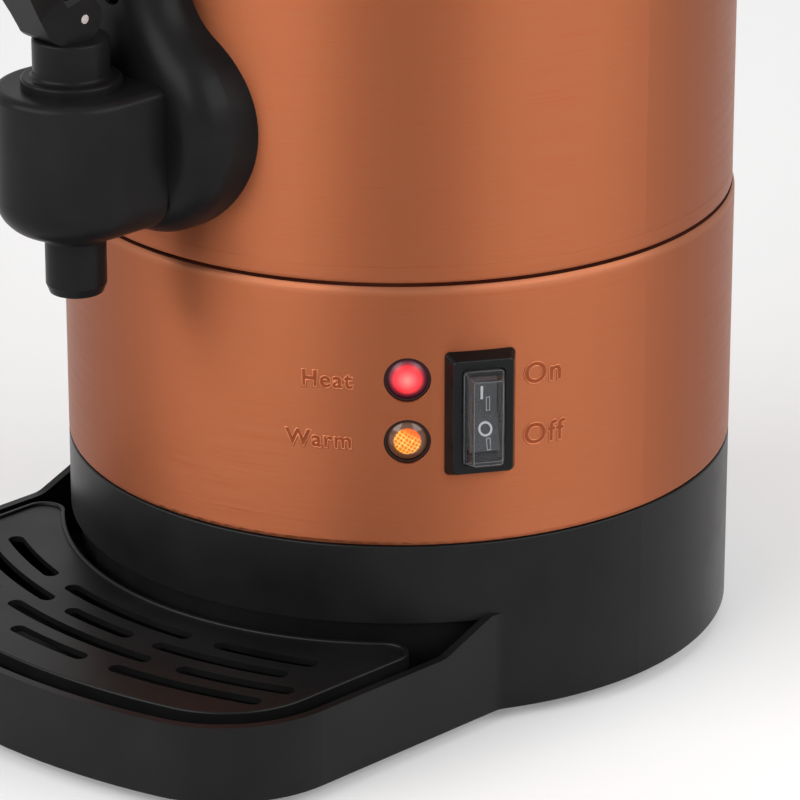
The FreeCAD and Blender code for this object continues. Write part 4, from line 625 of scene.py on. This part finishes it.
# %% Press a word into the band
# Painted shade and painted highlight: the groove's floor gets a darker copper, the beads a paler copper.
groove_painted_shade = spun("groove_copper_painted_shade", (0.24, 0.05, 0.017), (0.31, 0.08, 0.034), 0.5, 0.4)
bead_painted_highlight = spun("bead_copper_painted_highlight", (0.42, 0.12, 0.05), (0.52, 0.2, 0.1), 0.36, 0.3)


def lettering(name, words, size, side, stroke=0.0):
    """A text object lying flat, its baseline at zero, ready for a bevel or a fill."""
    bpy.ops.object.select_all(action="DESELECT")
    bpy.ops.object.text_add()
    text = bpy.context.object
    text.name = name
    text.data.body = words
    text.data.size = size
    text.data.align_x = side
    text.data.offset = stroke
    text.data.space_character = 1.12
    text.data.resolution_u = 4
    return text


def wrapped(text, turn, below_seam, out, flatten=1.0):
    """Makes the text a mesh and lays it round the band; turn is where its own zero goes."""
    only(text)
    bpy.ops.object.convert(target="MESH")
    for point in text.data.vertices:
        across, up, rise = point.co
        point.co = on_the_band(turn + across / band_radius, below_seam - up, out + rise * flatten)
    bpy.ops.object.mode_set(mode="EDIT")
    bpy.ops.mesh.select_all(action="SELECT")
    bpy.ops.mesh.remove_doubles(threshold=1e-6)
    bpy.ops.mesh.normals_make_consistent(inside=False)
    bpy.ops.object.mode_set(mode="OBJECT")
    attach(text, "urn")
    print(text.name, len(text.data.polygons), "faces")
    return text


def pressed_word(name, words, size, side, turn, below_seam):
    """The groove of a word and the two beads along it; side says at which end its turn is measured."""
    floor_of_groove = lettering(name + "_groove", words, size, side, stroke=0.0002)
    floor_of_groove.data.extrude = 0.00003
    wrapped(floor_of_groove, turn, below_seam, out=0.00001).data.materials.append(groove_painted_shade)
    beads = lettering(name + "_beads", words, size, side, stroke=0.0003)
    beads.data.fill_mode = "NONE"
    beads.data.bevel_depth = 0.00026
    beads.data.bevel_resolution = 2
    wrapped(beads, turn, below_seam, out=0.0, flatten=0.7).data.materials.append(bead_painted_highlight)
    bpy.ops.object.shade_smooth()


controls_turn = 45
left_of_lamps = math.radians(controls_turn - 7.6)
right_of_switch = math.radians(controls_turn + 20.7)
lamp_letters = 0.0079
switch_letters = 0.0101
pressed_word("word_heat", "Heat", lamp_letters, "RIGHT", left_of_lamps, below_seam=0.0357)
pressed_word("word_warm", "Warm", lamp_letters, "RIGHT", left_of_lamps, below_seam=0.0567)
pressed_word("word_on", "On", switch_letters, "LEFT", right_of_switch, below_seam=0.0366)
pressed_word("word_off", "Off", switch_letters, "LEFT", right_of_switch, below_seam=0.0579)

# %% [markdown]
# ## Printed marks
# The rocker carries the two usual marks, a line for on and a ring for off, each with a thin hollow bar, and
# the sight gauge has litre marks beside its window. Each mark starts flat. Then every point of it is dropped
# straight onto the solid it is printed on, so it follows the slope of the rocker and the round edge of the
# gauge.

# %% Lay a flat piece on a solid
UP = Vector((0, 0, 1))


def only_face_up(name, width, height):
    """A flat rectangle, its one face selected in edit mode."""
    bpy.ops.object.select_all(action="DESELECT")
    bpy.ops.mesh.primitive_plane_add(size=1)
    bpy.context.object.name = name
    bpy.ops.object.mode_set(mode="EDIT")
    bpy.ops.mesh.select_all(action="SELECT")
    bpy.ops.transform.resize(value=(width, height, 1))


def cut_out(line):
    """Leaves only a border of the selected face, one line wide."""
    bpy.ops.mesh.inset(thickness=line)
    bpy.ops.mesh.delete(type="FACE")
    bpy.ops.object.mode_set(mode="OBJECT")
    return bpy.context.object


def line_mark(name, width, height):
    """A filled bar."""
    only_face_up(name, width, height)
    bpy.ops.mesh.subdivide(number_cuts=3)
    bpy.ops.object.mode_set(mode="OBJECT")
    return bpy.context.object


def hollow_mark(name, width, height, line):
    """The outline of a bar."""
    only_face_up(name, width, height)
    return cut_out(line)


def ring_mark(name, radius, line):
    """A ring."""
    bpy.ops.object.select_all(action="DESELECT")
    bpy.ops.mesh.primitive_circle_add(vertices=64, radius=radius, fill_type="NGON")
    bpy.context.object.name = name
    bpy.ops.object.mode_set(mode="EDIT")
    bpy.ops.mesh.select_all(action="SELECT")
    return cut_out(line)


def printed(piece, solid, middle, out, finish, body):
    """Thickens a flat piece and drops it on a solid; from outside, its x runs right and its y runs up."""
    only(piece)
    bpy.ops.object.convert(target="MESH")
    ink = piece.modifiers.new("ink", "SOLIDIFY")
    ink.thickness = 0.00005
    ink.offset = 1
    bpy.ops.object.modifier_apply(modifier="ink")
    right = UP.cross(out)
    start_above = 0.05
    clear_by = 0.00001
    depth = start_above
    for point in piece.data.vertices:
        start = middle + right * point.co.x + UP * point.co.y + out * start_above
        hit, where, *_ = solids[solid].ray_cast(start, -out)
        if hit:
            depth = (start - where).length
        point.co = start - out * (depth - clear_by - point.co.z)
    piece.data.materials.append(finish)
    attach(piece, body)
    print(piece.name, "on", solid, len(piece.data.polygons), "faces")


# %% Marks on the rocker
mark_white = moulded("mark_white", (0.5, 0.51, 0.52), 0.5)
mark_grey = moulded("mark_grey", (0.3, 0.31, 0.32), 0.5)
rocker_low, rocker_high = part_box("switch_rocker")
rocker_middle = (rocker_low + rocker_high) / 2
sideways = rocker_middle - Vector((axis.x, axis.y, rocker_middle.z))
rocker_out = sideways.normalized()
rocker_right = UP.cross(rocker_out)


def on_the_rocker(x, y, out=0.0):
    """A point to the right of, above and out from the middle of the rocker."""
    return rocker_middle + rocker_right * x + UP * y + rocker_out * out


thin_line = 0.00028
on_line = line_mark("mark_on", width=0.00084, height=0.0045)
upper_bar = hollow_mark("mark_upper_bar", width=0.0014, height=0.0049, line=thin_line)
off_ring = ring_mark("mark_off", radius=0.00235, line=0.0007)
lower_bar = hollow_mark("mark_lower_bar", width=0.0015, height=0.0038, line=thin_line)
printed(on_line, "switch_rocker", on_the_rocker(-0.0003, 0.0068), rocker_out, mark_white, "rocker")
printed(upper_bar, "switch_rocker", on_the_rocker(0.0018, 0.0028), rocker_out, mark_grey, "rocker")
printed(off_ring, "switch_rocker", on_the_rocker(0.0005, -0.0052), rocker_out, mark_white, "rocker")
printed(lower_bar, "switch_rocker", on_the_rocker(0.0012, -0.0099), rocker_out, mark_grey, "rocker")

# %% [markdown]
# ## Painted highlights on the edges of the hood
# Thick clear vinyl catches the light along its edges, so each edge gets a painted highlight: a thin tube of
# opaque pale grey, one round the front face of the hood, one round its foot, and one down each corner between
# them.

# %% Measure the hood and its tubes
# Painted highlight: the tubes are an opaque pale grey laid where the light catches the hood's edges.
painted_edge_highlight = moulded("hood_edge_painted_highlight", (0.15, 0.155, 0.165), 0.25, depth=0.000002)


def hood_place(point):
    """Across, up and out from the middle of the rocker, as seen from in front of the switch."""
    away = point - rocker_middle
    return Vector((away.dot(rocker_right), away.z, away.dot(rocker_out)))


def thin_tube(name, points, closed, radius, finish, body):
    """A tube along straight runs between points, made as a curve and turned into a mesh."""
    curve = bpy.data.curves.new(name, "CURVE")
    curve.dimensions = "3D"
    curve.bevel_depth = radius
    curve.bevel_resolution = 1
    curve.use_fill_caps = True
    run = curve.splines.new("POLY")
    run.points.add(len(points) - 1)
    for knot, point in zip(run.points, points):
        knot.co = (*point, 1)
    run.use_cyclic_u = closed
    tube = bpy.data.objects.new(name, curve)
    bpy.context.scene.collection.objects.link(tube)
    only(tube)
    bpy.ops.object.convert(target="MESH")
    bpy.ops.object.shade_smooth()
    tube.data.materials.append(finish)
    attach(tube, body)
    print(name, len(tube.data.polygons), "faces")


cover = solids["switch_cover"]
hood_points = [hood_place(cover.matrix_world @ v.co) for v in cover.data.vertices]
hood_front = max(p.z for p in hood_points)
face_depth = 0.00003
face_points = [p for p in hood_points if p.z > hood_front - face_depth]
right_side = max(p.x for p in face_points)
left_side = min(p.x for p in face_points)
top = max(p.y for p in face_points)
bottom = min(p.y for p in face_points)
print("hood face", round((right_side - left_side) * 1000, 2), "by", round((top - bottom) * 1000, 2), "mm")

# %% Painted highlights along the edges of the hood
hood_rise = 0.0062
side_taper = 0.0017
end_taper = 0.0014
edge_size = 0.00011
edge_sunk = 0.00006
slope_edge_size = edge_size * 0.8
corner_steps = 4


def hood_outline(widen_x, widen_y, out, corner):
    """The hood's rounded outline, widened from its front face, at one distance out."""
    right = right_side - corner + widen_x
    left = left_side + corner - widen_x
    high = top - corner + widen_y
    low = bottom + corner - widen_y
    centres = ((right, high), (left, high), (left, low), (right, low))
    return [on_the_rocker(x, y, out) for quarter, (cx, cy) in enumerate(centres)
            for x, y in rounded(cx, cy, corner, 90 * quarter, 90 * quarter + 90, corner_steps)]


front_outline = hood_outline(-edge_size, -edge_size, hood_front - edge_sunk, corner=0.0007)
foot_outline = hood_outline(side_taper - edge_size, end_taper - edge_size, hood_front - hood_rise,
                            corner=0.0012)
# Painted highlights: pale tubes along the front edge, the foot and the four corners of the hood.
thin_tube("hood_front_painted_highlight", front_outline, True, edge_size, painted_edge_highlight, "urn")
thin_tube("hood_foot_painted_highlight", foot_outline, True, edge_size, painted_edge_highlight, "urn")
for corner in range(4):
    corner_middle = corner * (corner_steps + 1) + corner_steps // 2
    slope = [front_outline[corner_middle], foot_outline[corner_middle]]
    thin_tube(f"hood_slope_painted_highlight_{corner + 1}", slope, False, slope_edge_size, painted_edge_highlight, "urn")

# %% [markdown]
# ## The spring in the tap
# When the lever opens the tap, its stem rises and presses the spring above it shorter. A solid can't do that,
# so the spring is wound here, along a helix, in the place of the solid one.

# %% Wind the spring
spring_low, spring_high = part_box("tap_spring")
spring_middle = (spring_low + spring_high) / 2
spring_height = spring_high.z - spring_low.z
wire = 0.0008
coils = 6
steps_round = 32
coil_radius = (spring_high.x - spring_low.x) / 2 - wire
steps = coils * steps_round
helix = []
for step in range(steps + 1):
    turn = 2 * math.pi * step / steps_round
    x = spring_middle.x + coil_radius * math.cos(turn)
    y = spring_middle.y + coil_radius * math.sin(turn)
    helix.append((x, y, spring_low.z + wire + (spring_height - 2 * wire) * step / steps))
thin_tube("wound_spring", helix, False, wire, bright_steel, "urn")
spring = bpy.context.object
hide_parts("tap_spring")
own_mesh(spring)

# %% [markdown]
# ## Litre marks
# A litre fills the round tank to a height that follows from the tank's radius, so the marks are worked out
# from it, upwards from the tank's floor. Half litres get a short tick, whole litres a long one and a figure.

# %% Litre marks beside the gauge window
tank_sheet = 0.001
tank_radius_inside = 0.102
litre = 0.001 / (math.pi * tank_radius_inside ** 2)
tank_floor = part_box("inner_tank")[0].z + tank_sheet
front = Vector((0, -1, 0))
before_the_gauge = axis.y - 0.2
window_edge = 0.0044
tick_gap = 0.0008
figure_gap = 0.0052
figure_size = 0.0048
figure_down = 0.0017
for half_litres in range(5, 13):
    level = tank_floor + litre * half_litres / 2
    whole = half_litres % 2 == 0
    length = 0.0036 if whole else 0.0022
    tick = line_mark(f"litre_tick_{half_litres}", length, 0.0005)
    tick_middle = Vector((axis.x + window_edge + tick_gap + length / 2, before_the_gauge, level))
    printed(tick, "gauge_housing", tick_middle, front, mark_white, "urn")
    if whole:
        figure = lettering(f"litre_{half_litres // 2}", str(half_litres // 2), figure_size, "LEFT")
        figure_place = Vector((axis.x + window_edge + figure_gap, before_the_gauge, level - figure_down))
        printed(figure, "gauge_housing", figure_place, front, mark_white, "urn")
